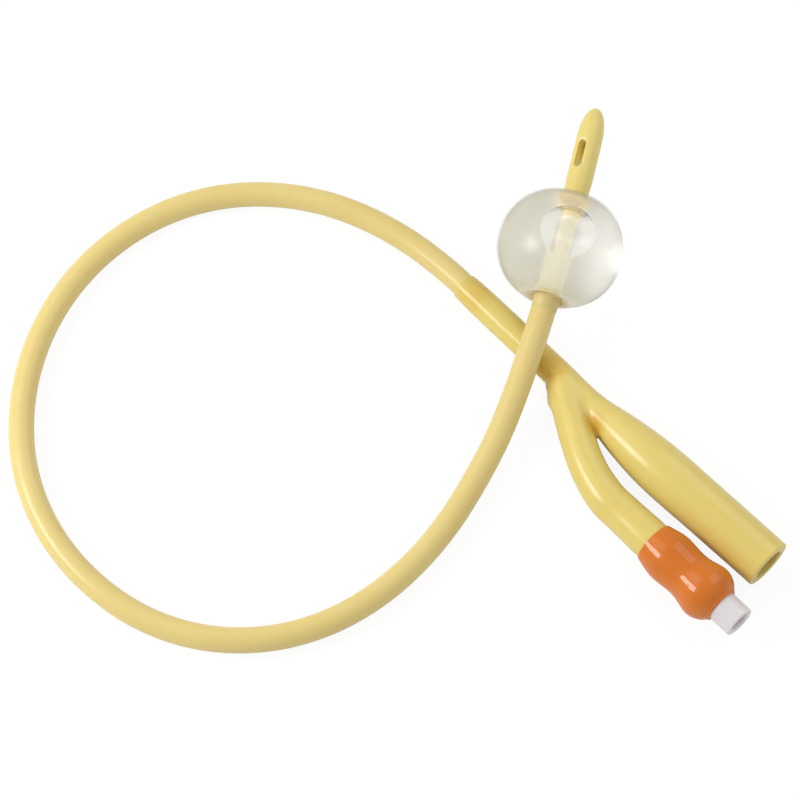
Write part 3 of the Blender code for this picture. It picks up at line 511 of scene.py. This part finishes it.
def build_funnel():
    """The Y-funnel: both branches and the nub flow into each other, and the mouths are cut."""
    rows = smooth_rows(FUNNEL_ROWS, COARSE_STEP)
    mouth, mouth_radius = rows[-1].to_3d(), rows[-1].w
    mouth_axis = (rows[-1].to_3d() - rows[-3].to_3d()).normalized()
    neck_axis = (rows[1].to_3d() - rows[0].to_3d()).normalized()
    points = [row.to_3d() for row in rows]
    radii = [row.w for row in rows]
    points = [points[0] - neck_axis * 2 * MM] + points + [mouth + mouth_axis * 2 * MM]
    radii = [radii[0] - 0.1 * MM] + radii + [radii[-1]]
    funnel = loft("funnel", points, radii, 64)

    arm = smooth_rows(ARM_ROWS, COARSE_STEP)
    points, radii = [], []
    for number in range(6):
        turn = math.pi / 2 * number / 6
        points.append(arm[0].to_3d() - ARM_LEG * (3.0 * MM * math.cos(turn)))
        radii.append(arm[0].w * math.sin(turn))
    points += [row.to_3d() for row in arm]
    radii += [row.w for row in arm]
    for along, radius in ARM_END:
        points.append(VALVE_ORIGIN + VALVE_AXIS * along * MM)
        radii.append((radius - 0.06) * MM)
    arm = loft("arm", points, radii, 56)
    points, radii = [], []
    for number in range(13):
        turn = math.pi * number / 12
        points.append(NUB - ARM_LEG * (NUB_LENGTH / 2 * math.cos(turn)))
        radii.append(NUB_R * math.sin(turn) if 0 < number < 12 else 0.0)
    nub = loft("nub", points, radii, 24)
    points = [WEB_START.lerp(WEB_END, number / 24) for number in range(25)]
    radii = [WEB_R * math.sqrt(1 - (number / 24) ** 6) for number in range(25)]
    web = loft("web", points, radii, 48)
    cut(funnel, [arm, web, nub], "UNION")

    # One even skin, smoother in the fork and round the nub
    remesh = funnel.modifiers.new("remesh", "REMESH")
    remesh.mode = "VOXEL"
    remesh.voxel_size = VOXEL
    even = funnel.modifiers.new("even", "SMOOTH")
    even.factor = 0.5
    even.iterations = 8
    apply_modifiers(funnel, 0.0)
    fork = WEB_START.lerp(WEB_END, 0.75) + Vector((0.0, 0.0, 2.0 * MM))
    for centre, reach, iterations in ((fork, 8.5 * MM, 36), (NUB, 4.5 * MM, 22)):
        soften(funnel, centre, reach, iterations)

    # The mouth's rounded rim and the collar round the shaft
    past = 4 * MM
    rim = mouth_radius - 0.02 * MM
    outline = [(-1.2 * MM, rim + 1.0 * MM), (-RIM_ROUND, rim + 0.05 * MM)]
    for number in range(5):
        turn = math.pi / 2 * number / 4
        outline.append((-RIM_ROUND * (1 - math.sin(turn)), rim - RIM_ROUND * (1 - math.cos(turn))))
    outline += [(0.0, 0.0), (past, 0.0), (past, rim + 3 * MM), (-1.2 * MM, rim + 3 * MM)]
    cutters = [turned("rim", outline, 72, axis_frame(mouth, mouth_axis))]
    outline = [(0.6 * MM, COLLAR_R + 2 * MM), (0.6 * MM, COLLAR_R + 0.3 * MM), (0.12 * MM, COLLAR_R),
               (0.0, COLLAR_R - 0.10 * MM), (0.0, 0.0), (-past, 0.0), (-past, COLLAR_R + 2 * MM)]
    cutters.append(turned("collar", outline, 72, axis_frame(COLLAR, neck_axis)))

    # The socket of the shaft, the drainage bore, the inflation channel and the valve's seat
    socket_end = COLLAR + neck_axis * SOCKET_LENGTH
    bores = [loft("socket", [COLLAR - neck_axis * 3 * MM, socket_end], [SOCKET_R] * 2, 48)]
    bore = smooth_rows(BORE_ROWS, COARSE_STEP)
    points = [bore[0].to_3d() - neck_axis * 0.7 * MM] + [row.to_3d() for row in bore[:-1]]
    radii = [bore[0].w] + [row.w for row in bore[:-1]]
    points += [mouth - mouth_axis * 0.05 * MM, mouth + mouth_axis * 0.3 * MM, mouth + mouth_axis * past]
    radii += [bore[-1].w + 0.02 * MM, bore[-1].w + 0.30 * MM, bore[-1].w + 0.30 * MM]
    bores.append(loft("drain_bore", points, radii, 48))
    channel = smooth_rows(CHANNEL_ROWS, COARSE_STEP)
    bores.append(loft("channel", channel, [CHANNEL_R] * len(channel), 16))
    tail = [(along * MM, radius * MM) for along, radius in TAIL_SEAT]
    bores.append(turned("tail_seat", tail, 32, axis_frame(VALVE_ORIGIN, VALVE_AXIS)))
    cut(bores[0], bores[1:], "UNION")
    for cutter in (*cutters, bores[0]):
        cut(funnel, [cutter], sharp=35.0)
    return funnel


def build_sleeve():
    """The glossy sleeve over the end of the arm and the body of the valve."""
    outer = [(row.x, row.y) for row in smooth_rows(SLEEVE_ROWS, FINE_STEP)]
    for _ in range(SLEEVE_SMOOTHING):
        outer[1:-1] = [(here[0], (before[1] + 2 * here[1] + after[1]) / 4)
                       for before, here, after in zip(outer, outer[1:], outer[2:])]
    end, lip = outer[-1]
    fit = LUER_R + 0.03 * MM
    for number in range(1, 7):
        turn = math.pi / 2 * number / 6
        outer.append((end + 0.5 * MM * math.sin(turn), fit + (lip - fit) * math.cos(turn)))
    inner = [(along * MM, (radius + 0.10) * MM) for along, radius in ARM_END]
    inner += [(7.2 * MM, 4.7 * MM), (7.2 * MM, 4.2 * MM), (12.9 * MM, 4.2 * MM), (12.9 * MM, 5.2 * MM),
              (16.65 * MM, 5.2 * MM), (18.05 * MM, fit)]
    matrix = axis_frame(VALVE_ORIGIN, VALVE_AXIS)
    return turned("sleeve", outer + inner[::-1], 96, matrix, 50.0)


def rounded(rows, size):
    """Outline rows in mm with each listed corner rounded: rows hold (along, radius, round?)."""
    outline = []
    count = len(rows)
    for place, (along, radius, turn_it) in enumerate(rows):
        here = Vector((along, radius))
        if not turn_it:
            outline.append(here * MM)
            continue
        before = (Vector(rows[place - 1][:2]) - here).normalized()
        after = (Vector(rows[(place + 1) % count][:2]) - here).normalized()
        first, last = here + before * size, here + after * size
        for number in range(5):
            t = number / 4
            outline.append((first.lerp(here, t)).lerp(here.lerp(last, t), t) * MM)
    return [(spot.x, spot.y) for spot in outline]


def build_valve():
    """Luer body and plunger of the check valve, with their real edges."""
    matrix = axis_frame(VALVE_ORIGIN, VALVE_AXIS)
    rows = ((7.4, 4.1, False), (13.0, 4.1, False), (13.0, 5.1, True), (16.6, 5.1, True),
            (18.0, 3.4, False), (24.4, 3.4, True), (24.4, 2.2, True), (17.0, 1.978, False),
            (17.0, 1.35, False), (16.2, 1.35, False), (16.2, 3.3, False), (7.4, 3.3, False))
    body = turned("luer_body", rounded(rows, 0.22), 72, matrix)
    rows = ((10.6, 0.0, False), (10.6, 0.75, True), (14.2, 0.75, False), (14.2, 2.4, True),
            (15.1, 2.4, True), (15.1, 0.95, False), (21.6, 0.95, True), (21.6, 0.0, False))
    stem = turned("plunger_stem", rounded(rows, 0.18), 40, matrix)
    rows = ((15.2, 1.05, False), (15.2, 2.3, True), (16.1, 2.3, True), (16.1, 1.05, False))
    seal = turned("plunger_seal", rounded(rows, 0.2), 48, matrix)

    points = []
    (low, high), steps = COIL_SPAN, 28
    for number in range(COIL_TURNS * steps + 1):
        turn = 2 * math.pi * number / steps
        share = number / (COIL_TURNS * steps)
        rise = share + 0.045 * math.sin(2 * math.pi * share)
        points.append(matrix @ Vector((COIL_R * math.cos(turn), COIL_R * math.sin(turn),
                                       (low + (high - low) * rise) * MM)))
    spring = wire("coil", points, WIRE_R, 12)
    return body, stem, seal, spring


def wire(name, points, radius, sides):
    """A round wire along any path, its section carried along without twist."""
    data = bmesh.new()
    rings = []
    tangents = tangents_of(points)
    normal = tangents[0].orthogonal().normalized()
    for point, tangent in zip(points, tangents):
        normal = (normal - tangent * normal.dot(tangent)).normalized()
        other = tangent.cross(normal)
        rings.append([data.verts.new(point + (normal * math.cos(2 * math.pi * number / sides)
                                              + other * math.sin(2 * math.pi * number / sides)) * radius)
                      for number in range(sides)])
    for first, second in zip(rings, rings[1:]):
        for number in range(sides):
            after = (number + 1) % sides
            data.faces.new((first[number], first[after], second[after], second[number]))
    data.faces.new(rings[0])
    data.faces.new(rings[-1])
    return new_object(name, data)


def balloon_curve(count):
    """Outer skin of the balloon as (along, radius) rows, with a dimple at each pole."""
    power = 2 / BALLOON_FULLNESS
    first = math.asin((CUFF_R / BALLOON_R) ** (1 / power))
    far, near = [], []
    for number in range(count):
        turn = first + (math.pi / 2 - first) * (number / count) ** 1.5
        radius = BALLOON_R * math.sin(turn) ** power
        reach = BALLOON_HALF * math.cos(turn) ** power
        fall = math.exp((CUFF_R - radius) / DIMPLE_SPREAD)
        far.append((reach - FAR_DIMPLE * fall, radius))
        near.append((NEAR_DIMPLE * fall - reach, radius))
    return far + [(0.0, BALLOON_R)] + near[::-1]


def inset(curve, depth):
    """The curve moved towards the inside, square to itself."""
    moved = []
    for place, (along, radius) in enumerate(curve):
        before = curve[max(place - 1, 0)]
        after = curve[min(place + 1, len(curve) - 1)]
        run, rise = after[0] - before[0], after[1] - before[1]
        size = math.hypot(run, rise)
        moved.append((along - depth * rise / size, radius + depth * run / size))
    return moved


def build_balloon():
    """The balloon's skin with its cuffs, and the water inside with an air bubble at its top."""
    matrix = axis_frame(BALLOON_CENTRE, BALLOON_AXIS)
    outer = balloon_curve(48)
    inner = inset(outer, BALLOON_WALL)
    bond = SHAFT_R + 0.02 * MM
    far, near = outer[0][0], outer[-1][0]
    seams = (near + 2 * BALLOON_WALL, far - 2 * BALLOON_WALL)
    taper = [(1.0, 0.03), (0.75, 0.07), (0.5, 0.13), (0.25, 0.22)]
    outline = [(far + CUFF_LENGTH * share, bond + wall * MM) for share, wall in taper] + outer
    outline += [(near - CUFF_LENGTH * share, bond + wall * MM) for share, wall in taper[::-1]]
    outline += [(near - CUFF_LENGTH, bond), (seams[0], bond)] + inner[::-1]
    outline += [(seams[1], bond), (far + CUFF_LENGTH, bond)]
    skin = turned("balloon_skin", outline, 128, matrix, 60.0)

    seat = [(along, shaft_radius(BALLOON_PLACE - along) - 0.03 * MM)
            for along in np.linspace(seams[0], seams[1], 41)]
    outline = seat + inset(outer, BALLOON_WALL + 0.015 * MM)
    water = turned("balloon_water", outline, 128, matrix, 60.0)
    up = Vector((math.cos(BUBBLE_HEADING) * math.sin(BUBBLE_LEAN),
                 math.sin(BUBBLE_HEADING) * math.sin(BUBBLE_LEAN), math.cos(BUBBLE_LEAN)))
    top = BALLOON_CENTRE + up * (BALLOON_R - BALLOON_WALL)
    rim = math.sqrt((BALLOON_R - BALLOON_WALL) ** 2 - BUBBLE_R**2) - (BALLOON_R - BALLOON_WALL)
    bowl = []
    for number in range(33):
        share = number / 32
        bowl.append((-BUBBLE_DEPTH + (BUBBLE_DEPTH + rim) * share**2, BUBBLE_R * share))
    bowl += [(3 * MM, BUBBLE_R), (3 * MM, 0.0)]
    bubble = turned("bubble", bowl, 96, axis_frame(top, up), 0.0)
    cut(water, [bubble], sharp=60.0)
    return skin, water


def node_tree(name):
    """A new material, its node tree and its Principled shader."""
    material = bpy.data.materials.new(name)
    material.use_nodes = True
    tree = material.node_tree
    return material, tree, tree.nodes["Principled BSDF"]


def add_noise(tree, scale, detail, roughness):
    """Noise in object space, its scale in turns per metre."""
    place = tree.nodes.new("ShaderNodeTexCoord")
    texture = tree.nodes.new("ShaderNodeTexNoise")
    texture.inputs["Scale"].default_value = scale
    texture.inputs["Detail"].default_value = detail
    texture.inputs["Roughness"].default_value = roughness
    tree.links.new(place.outputs["Object"], texture.inputs["Vector"])
    return texture.outputs["Fac"]


def ramp(tree, source, tones, places=(0.3, 0.7)):
    """Colour ramp between two tones at two places."""
    node = tree.nodes.new("ShaderNodeValToRGB")
    for element, place, tone in zip(node.color_ramp.elements, places, tones):
        element.position = place
        element.color = (*tone, 1.0)
    tree.links.new(source, node.inputs["Fac"])
    return node.outputs["Color"]


def add_bump(tree, shader, height, strength, distance):
    """Bump from a height into a shader."""
    node = tree.nodes.new("ShaderNodeBump")
    node.inputs["Strength"].default_value = strength
    node.inputs["Distance"].default_value = distance
    tree.links.new(height, node.inputs["Height"])
    tree.links.new(node.outputs["Normal"], shader.inputs["Normal"])


def mapped(tree, source, low, high):
    """A factor from 0..1 mapped to low..high."""
    node = tree.nodes.new("ShaderNodeMapRange")
    node.inputs["To Min"].default_value = low
    node.inputs["To Max"].default_value = high
    tree.links.new(source, node.inputs["Value"])
    return node.outputs["Result"]


def from_point(tree, point):
    """Distance from a point in metres, at the shaded point."""
    place = tree.nodes.new("ShaderNodeTexCoord")
    size = tree.nodes.new("ShaderNodeVectorMath")
    size.operation = "DISTANCE"
    tree.links.new(place.outputs["Object"], size.inputs[0])
    size.inputs[1].default_value = point
    return size.outputs["Value"]


def from_axis(tree, point, axis):
    """Distance from an axis in metres, at the shaded point."""
    place = tree.nodes.new("ShaderNodeTexCoord")
    offset = tree.nodes.new("ShaderNodeVectorMath")
    offset.operation = "SUBTRACT"
    tree.links.new(place.outputs["Object"], offset.inputs[0])
    offset.inputs[1].default_value = point
    across = tree.nodes.new("ShaderNodeVectorMath")
    across.operation = "CROSS_PRODUCT"
    tree.links.new(offset.outputs["Vector"], across.inputs[0])
    across.inputs[1].default_value = axis
    size = tree.nodes.new("ShaderNodeVectorMath")
    size.operation = "LENGTH"
    tree.links.new(across.outputs["Vector"], size.inputs[0])
    return size.outputs["Value"]


def stretch_over(tree, source, start, end, low, high):
    """A smooth step of a measure from start to end, mapped to low..high."""
    node = tree.nodes.new("ShaderNodeMapRange")
    node.interpolation_type = "SMOOTHSTEP"
    node.inputs["From Min"].default_value = start
    node.inputs["From Max"].default_value = end
    node.inputs["To Min"].default_value = low
    node.inputs["To Max"].default_value = high
    tree.links.new(source, node.inputs["Value"])
    return node.outputs["Result"]


def mix_colours(tree, share, first, second):
    """Mix two colours, each a socket or a plain colour."""
    node = tree.nodes.new("ShaderNodeMix")
    node.data_type = "RGBA"
    tree.links.new(share, node.inputs["Factor"])
    for socket, value in ((node.inputs["A"], first), (node.inputs["B"], second)):
        if isinstance(value, tuple):
            socket.default_value = (*value, 1.0)
        else:
            tree.links.new(value, socket)
    return node.outputs["Result"]


def joined(tree, operation, first, second):
    """Two measures joined by a Math node's operation."""
    node = tree.nodes.new("ShaderNodeMath")
    node.operation = operation
    tree.links.new(first, node.inputs[0])
    tree.links.new(second, node.inputs[1])
    return node.outputs[0]


def product(tree, first, second):
    """Two measures multiplied."""
    return joined(tree, "MULTIPLY", first, second)


def larger(tree, first, second):
    """The larger of two measures."""
    return joined(tree, "MAXIMUM", first, second)


def mix_shaders(tree, share, first, second):
    """The first shader, with a share of the second."""
    mix = tree.nodes.new("ShaderNodeMixShader")
    tree.links.new(share, mix.inputs["Fac"])
    tree.links.new(first, mix.inputs[1])
    tree.links.new(second, mix.inputs[2])
    return mix.outputs[0]


def light_path_mix(tree, lit, seen, share):
    """A lit shader, with a share of another for rays that look at it, straight or through water."""
    path = tree.nodes.new("ShaderNodeLightPath")
    looked_at = larger(tree, path.outputs["Is Camera Ray"], path.outputs["Is Transmission Ray"])
    return mix_shaders(tree, mapped(tree, looked_at, 0.0, share), lit, seen)


def latex(name, tones, smooth):
    """Dipped natural latex: warm, slightly milky, with a soft sheen."""
    material, tree, shader = node_tree(name)
    cloud = add_noise(tree, 55.0, 5.0, 0.6)
    colour = ramp(tree, cloud, tones, (0.30, 0.75))
    shader.inputs["Subsurface Weight"].default_value = 0.35
    shader.inputs["Subsurface Radius"].default_value = (1.0, 0.62, 0.22)
    shader.inputs["Subsurface Scale"].default_value = 0.9 * MM
    fine = add_noise(tree, 700.0, 3.0, 0.55)
    tree.links.new(mapped(tree, fine, smooth - 0.05, smooth + 0.05), shader.inputs["Roughness"])
    shader.inputs["IOR"].default_value = 1.48
    add_bump(tree, shader, fine, 0.10, 0.05 * MM)
    return material, tree, shader, colour


def shaft_latex():
    """The latex of the shaft, with painted light: pale and glowing faintly inside the balloon, and lit
    golden yellow in the lumen at the tip.
    """
    material, tree, shader, colour = latex("shaft_latex", SHAFT_TONES, 0.30)
    # In the water it is painted pale and given a faint painted glow, standing for the light that reaches it
    # through the water
    reach = from_point(tree, BALLOON_CENTRE - BALLOON_AXIS * 0.9 * MM)
    inside = stretch_over(tree, reach, 7.8 * MM, 8.7 * MM, 1.0, 0.0)
    colour = mix_colours(tree, inside, colour, SHAFT_PAINTED_LIGHT_IN_WATER)
    reach = from_point(tree, BALLOON_CENTRE - BALLOON_AXIS * 0.95 * MM)
    shader.inputs["Emission Color"].default_value = (*SHAFT_PAINTED_GLOW, 1.0)
    tree.links.new(stretch_over(tree, reach, 10.0 * MM, 10.5 * MM, 0.32, 0.0),
                   shader.inputs["Emission Strength"])
    # The tip's outside, and painted light in the lumen behind its eyes: its walls lighter and more golden
    # than their shade
    tip = Vector(ROUTE[0]) * MM
    along = (tip - Vector(ROUTE[3]) * MM).normalized()
    crown = stretch_over(tree, from_point(tree, tip), 15.0 * MM, 26.0 * MM, 0.75, 0.0)
    colour = mix_colours(tree, crown, colour, SHAFT_CROWN)
    lumen = stretch_over(tree, from_axis(tree, tip, along), 1.9 * MM, 2.2 * MM, 1.0, 0.0)
    eyes = tip - along * (EYE_FROM_TIP + EYE_STAGGER / 2)
    near_tip = stretch_over(tree, from_point(tree, eyes), 6.6 * MM, 7.4 * MM, 1.0, 0.0)
    colour = mix_colours(tree, product(tree, lumen, near_tip), colour, LUMEN_PAINTED_LIGHT)
    tree.links.new(colour, shader.inputs["Base Color"])
    return material


def funnel_latex():
    """The glossier, deeper yellow latex of the moulded funnel, with painted shade in deep gold in its fork
    and under the crossing shaft, and deeper golden at the start of its neck.
    """
    material, tree, shader, colour = latex("funnel_latex", FUNNEL_TONES, 0.25)
    # Deep gold at each spot: painted shade in the fork and under the crossing shaft, a golden tone at the
    # neck's start
    for spot, start, end, share in PAINTED_SHADE_AND_GOLD_SPOTS:
        shade_and_gold = stretch_over(tree, from_point(tree, spot), start, end, share, 0.0)
        colour = mix_colours(tree, shade_and_gold, colour, PAINTED_SHADE_AND_NECK_GOLD)
    tree.links.new(colour, shader.inputs["Base Color"])
    return material


def orange_vinyl():
    """Glossy soft orange plastic."""
    material, tree, shader = node_tree("orange_vinyl")
    cloud = add_noise(tree, 160.0, 4.0, 0.55)
    tree.links.new(ramp(tree, cloud, ORANGE_TONES), shader.inputs["Base Color"])
    shader.inputs["Roughness"].default_value = 0.36
    shader.inputs["Specular IOR Level"].default_value = 0.15
    shader.inputs["Coat Weight"].default_value = 0.7
    shader.inputs["Coat Roughness"].default_value = 0.05
    shader.inputs["Subsurface Weight"].default_value = 0.15
    shader.inputs["Subsurface Radius"].default_value = (1.0, 0.3, 0.1)
    shader.inputs["Subsurface Scale"].default_value = 0.5 * MM
    fine = add_noise(tree, 420.0, 2.0, 0.5)
    add_bump(tree, shader, fine, 0.06, 0.05 * MM)
    return material


def plastic(name, tones, roughness, depth=0.0):
    """Moulded plastic with a faint grain. depth is how much light goes into it."""
    material, tree, shader = node_tree(name)
    shader.inputs["Subsurface Weight"].default_value = depth
    shader.inputs["Subsurface Radius"].default_value = (1.0, 1.0, 1.0)
    shader.inputs["Subsurface Scale"].default_value = 1.5 * MM
    cloud = add_noise(tree, 260.0, 4.0, 0.55)
    tree.links.new(ramp(tree, cloud, tones), shader.inputs["Base Color"])
    fine = add_noise(tree, 1500.0, 2.0, 0.5)
    tree.links.new(mapped(tree, fine, roughness - 0.05, roughness + 0.05), shader.inputs["Roughness"])
    add_bump(tree, shader, fine, 0.08, 0.03 * MM)
    return material


def bubble_highlight_ring(tree):
    """1 in a ring round the middle of the bubble, a painted highlight where the skin is thinned and the
    water whitened, less so over the shaft.
    """
    reach = from_point(tree, BUBBLE_MIDDLE)
    over_shaft = from_point(tree, BUBBLE_MIDDLE + Vector((-1.6, -3.9, 0.0)) * MM)
    ring = product(tree, stretch_over(tree, reach, 2.2 * MM, 3.8 * MM, 0.0, 1.0),
                   stretch_over(tree, reach, 5.6 * MM, 6.1 * MM, 1.0, 0.0))
    return product(tree, ring, stretch_over(tree, over_shaft, 1.4 * MM, 3.4 * MM, 0.15, 1.0))


def balloon_skin():
    """Thin stretched latex: frosty and half see-through, yellow by its cuffs, with painted light: a pale,
    thinner film on the side where the water focuses light, and a painted highlight ring round the bubble.
    """
    material, tree, shader = node_tree("balloon_skin")
    # Colour of the film, from the side painted near white as a pool of light to the milky rest, yellower
    # towards the poles
    cloud = add_noise(tree, 90.0, 4.0, 0.55)
    milky = ramp(tree, cloud, FILM_TONES)
    painted_light_share = stretch_over(tree, from_point(tree, PAINTED_LIGHT_SIDE), 4.0 * MM, 15.5 * MM, 0.0, 1.0)
    reach = from_axis(tree, BALLOON_CENTRE, BALLOON_AXIS)
    ends = stretch_over(tree, reach, 6.0 * MM, 11.5 * MM, 0.0, 1.0)
    milky = mix_colours(tree, ends, FILM_AT_POLES, milky)
    colour = mix_colours(tree, painted_light_share, FILM_PAINTED_LIGHT, milky)
    # Gathered skin round the poles, the shoulder, the cuffs and their sleeves on the shaft
    gathered = stretch_over(tree, reach, 4.4 * MM, 6.6 * MM, 0.0, 1.0)
    colour = mix_colours(tree, gathered, GATHERED, colour)
    shoulder = from_point(tree, FAR_SHOULDER)
    cream = stretch_over(tree, shoulder, 3.0 * MM, 5.0 * MM, 1.0, 0.0)
    colour = mix_colours(tree, cream, colour, SHOULDER)
    cuff = stretch_over(tree, reach, 3.05 * MM, 3.6 * MM, 0.0, 1.0)
    colour = mix_colours(tree, cuff, CUFF, colour)
    sleeve = stretch_over(tree, reach, 2.90 * MM, 2.98 * MM, 0.0, 1.0)
    colour = mix_colours(tree, sleeve, CUFF_SLEEVE, colour)
    tree.links.new(colour, shader.inputs["Base Color"])
    # Density of the film: least underneath, on the side of the painted light and in the bubble's ring of
    # painted highlight, most at the poles and the shoulder
    under = stretch_over(tree, from_point(tree, BALLOON_CENTRE - Vector((0.0, 0.0, 13.0)) * MM),
                         15.5 * MM, 19.5 * MM, 0.12, 1.0)
    film = product(tree, stretch_over(tree, painted_light_share, 0.0, 1.0, 0.05, 0.29), under)
    film = product(tree, film, stretch_over(tree, bubble_highlight_ring(tree), 0.0, 1.0, 1.0, 0.35))
    film = larger(tree, film, stretch_over(tree, reach, 3.1 * MM, 6.2 * MM, 0.92, 0.0))
    film = larger(tree, film, stretch_over(tree, shoulder, 1.2 * MM, 3.5 * MM, 0.75, 0.0))
    tree.links.new(film, shader.inputs["Alpha"])
    shader.inputs["Roughness"].default_value = 0.34
    shader.inputs["IOR"].default_value = 1.85
    return material


def water_fill():
    """Cloudy water, tinted lighter on one side as a painted pool of light and whiter round the bubble as a
    painted highlight. Shadow rays pass through it.
    """
    material, tree, shader = node_tree("water_fill")
    # Painted light: the tint lighter towards the side where the water focuses light
    painted_light_share = stretch_over(tree, from_point(tree, PAINTED_LIGHT_SIDE), 5.0 * MM, 16.0 * MM, 0.0, 1.0)
    tint = mix_colours(tree, painted_light_share, WATER_PAINTED_LIGHT, WATER_CLOUDY)
    # Painted highlight: the water whiter in the ring round the bubble
    tint = mix_colours(tree, bubble_highlight_ring(tree), tint, WATER_RING_PAINTED_HIGHLIGHT)
    tree.links.new(tint, shader.inputs["Base Color"])
    shader.inputs["Transmission Weight"].default_value = 1.0
    shader.inputs["IOR"].default_value = 1.33
    soft = add_noise(tree, 120.0, 3.0, 0.5)
    tree.links.new(mapped(tree, soft, 0.22, 0.30), shader.inputs["Roughness"])
    path = tree.nodes.new("ShaderNodeLightPath")
    through = tree.nodes.new("ShaderNodeBsdfTransparent")
    through.inputs["Color"].default_value = (*WATER_SHADOW, 1.0)
    surface = mix_shaders(tree, path.outputs["Is Shadow Ray"], shader.outputs[0], through.outputs[0])
    tree.links.new(surface, tree.nodes["Material Output"].inputs["Surface"])
    return material


def spring_steel():
    """Drawn steel wire."""
    material, tree, shader = node_tree("spring_wire")
    fine = add_noise(tree, 2500.0, 3.0, 0.5)
    tree.links.new(ramp(tree, fine, STEEL_TONES), shader.inputs["Base Color"])
    shader.inputs["Metallic"].default_value = 1.0
    shader.inputs["Roughness"].default_value = 0.25
    return material


def area_light(name, place, aim, size, power, upright):
    """Rectangular lamp at a place, facing an aim, its second size along upright."""
    data = bpy.data.lights.new(name, "AREA")
    data.shape = "RECTANGLE"
    data.size, data.size_y = size
    data.energy = power
    lamp = bpy.data.objects.new(name, data)
    SCENE.collection.objects.link(lamp)
    back = (Vector(place) - Vector(aim)).normalized()
    across = Vector(upright).cross(back).normalized()
    matrix = Matrix((across, back.cross(across), back)).transposed().to_4x4()
    matrix.translation = place
    lamp.matrix_world = matrix


def build_stage():
    """Pale floor, soft world and lamps."""
    data = bmesh.new()
    corners = ((-1, -1), (1, -1), (1, 1), (-1, 1))
    data.faces.new([data.verts.new((x * FLOOR_HALF, y * FLOOR_HALF, 0.0)) for x, y in corners])
    floor = new_object("floor", data)
    floor.location.z = -FLOOR_GAP
    material = bpy.data.materials.new("floor_paper")
    material.use_nodes = True
    tree = material.node_tree
    tree.nodes.clear()
    paper = tree.nodes.new("ShaderNodeBsdfDiffuse")
    paper.inputs["Color"].default_value = (*PAPER, 1.0)
    glow = tree.nodes.new("ShaderNodeEmission")
    glow.inputs["Strength"].default_value = FLOOR_GLOW
    out = tree.nodes.new("ShaderNodeOutputMaterial")
    surface = light_path_mix(tree, paper.outputs[0], glow.outputs[0], FLOOR_GLOW_SHARE)
    tree.links.new(surface, out.inputs["Surface"])
    floor.data.materials.append(material)

    world = bpy.data.worlds.new("studio")
    SCENE.world = world
    world.use_nodes = True
    tree = world.node_tree
    tree.nodes.clear()
    lit, seen = (tree.nodes.new("ShaderNodeBackground") for _ in WORLD_STRENGTHS)
    for background, strength in zip((lit, seen), WORLD_STRENGTHS):
        background.inputs["Color"].default_value = (1.0, 1.0, 1.0, 1.0)
        background.inputs["Strength"].default_value = strength
    out = tree.nodes.new("ShaderNodeOutputWorld")
    tree.links.new(light_path_mix(tree, lit.outputs[0], seen.outputs[0], 1.0), out.inputs["Surface"])

    for lamp in LAMPS:
        area_light(*lamp)


def set_material(thing, material):
    """Give an object one material."""
    thing.data.materials.clear()
    thing.data.materials.append(material)


def main():
    """Build every piece, its material and the stage."""
    SCENE.view_settings.view_transform = "Standard"
    set_camera()
    shaft, path = build_shaft()
    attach(shaft, "catheter")
    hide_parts("catheter_shaft")
    skin, water = build_balloon()
    funnel = build_funnel()
    sleeve = build_sleeve()
    body, stem, seal, spring = build_valve()

    white = plastic("white_port", WHITE_TONES, 0.34, 0.7)
    looks = (
        (shaft, shaft_latex()), (funnel, funnel_latex()), (sleeve, orange_vinyl()), (body, white),
        (stem, plastic("grey_stem", GREY_TONES, 0.38)), (seal, plastic("black_seal", BLACK_TONES, 0.55)),
        (spring, spring_steel()), (skin, balloon_skin()), (water, water_fill()),
        (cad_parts["valve_tail"], white),
    )
    for thing, material in looks:
        set_material(thing, material)
    rides = (
        (funnel, "y_funnel", "catheter", "yellow_latex"),
        (sleeve, "valve_sleeve", "catheter", "orange_rubber"),
        (body, "valve_body", "catheter", "white_plastic"),
        (stem, "valve_stem", "valve_plunger", "grey_plastic"),
        (seal, "valve_seal", "valve_plunger", "black_rubber"),
        (spring, "valve_spring", "catheter", "spring_steel"),
        (skin, "balloon", "catheter", "clear_rubber"),
        (water, "balloon_filling", "catheter", "water"),
    )
    for thing, node, body_name, slot in rides:
        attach(thing, body_name)
        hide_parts(node)
    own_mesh(spring)
    build_stage()


main()
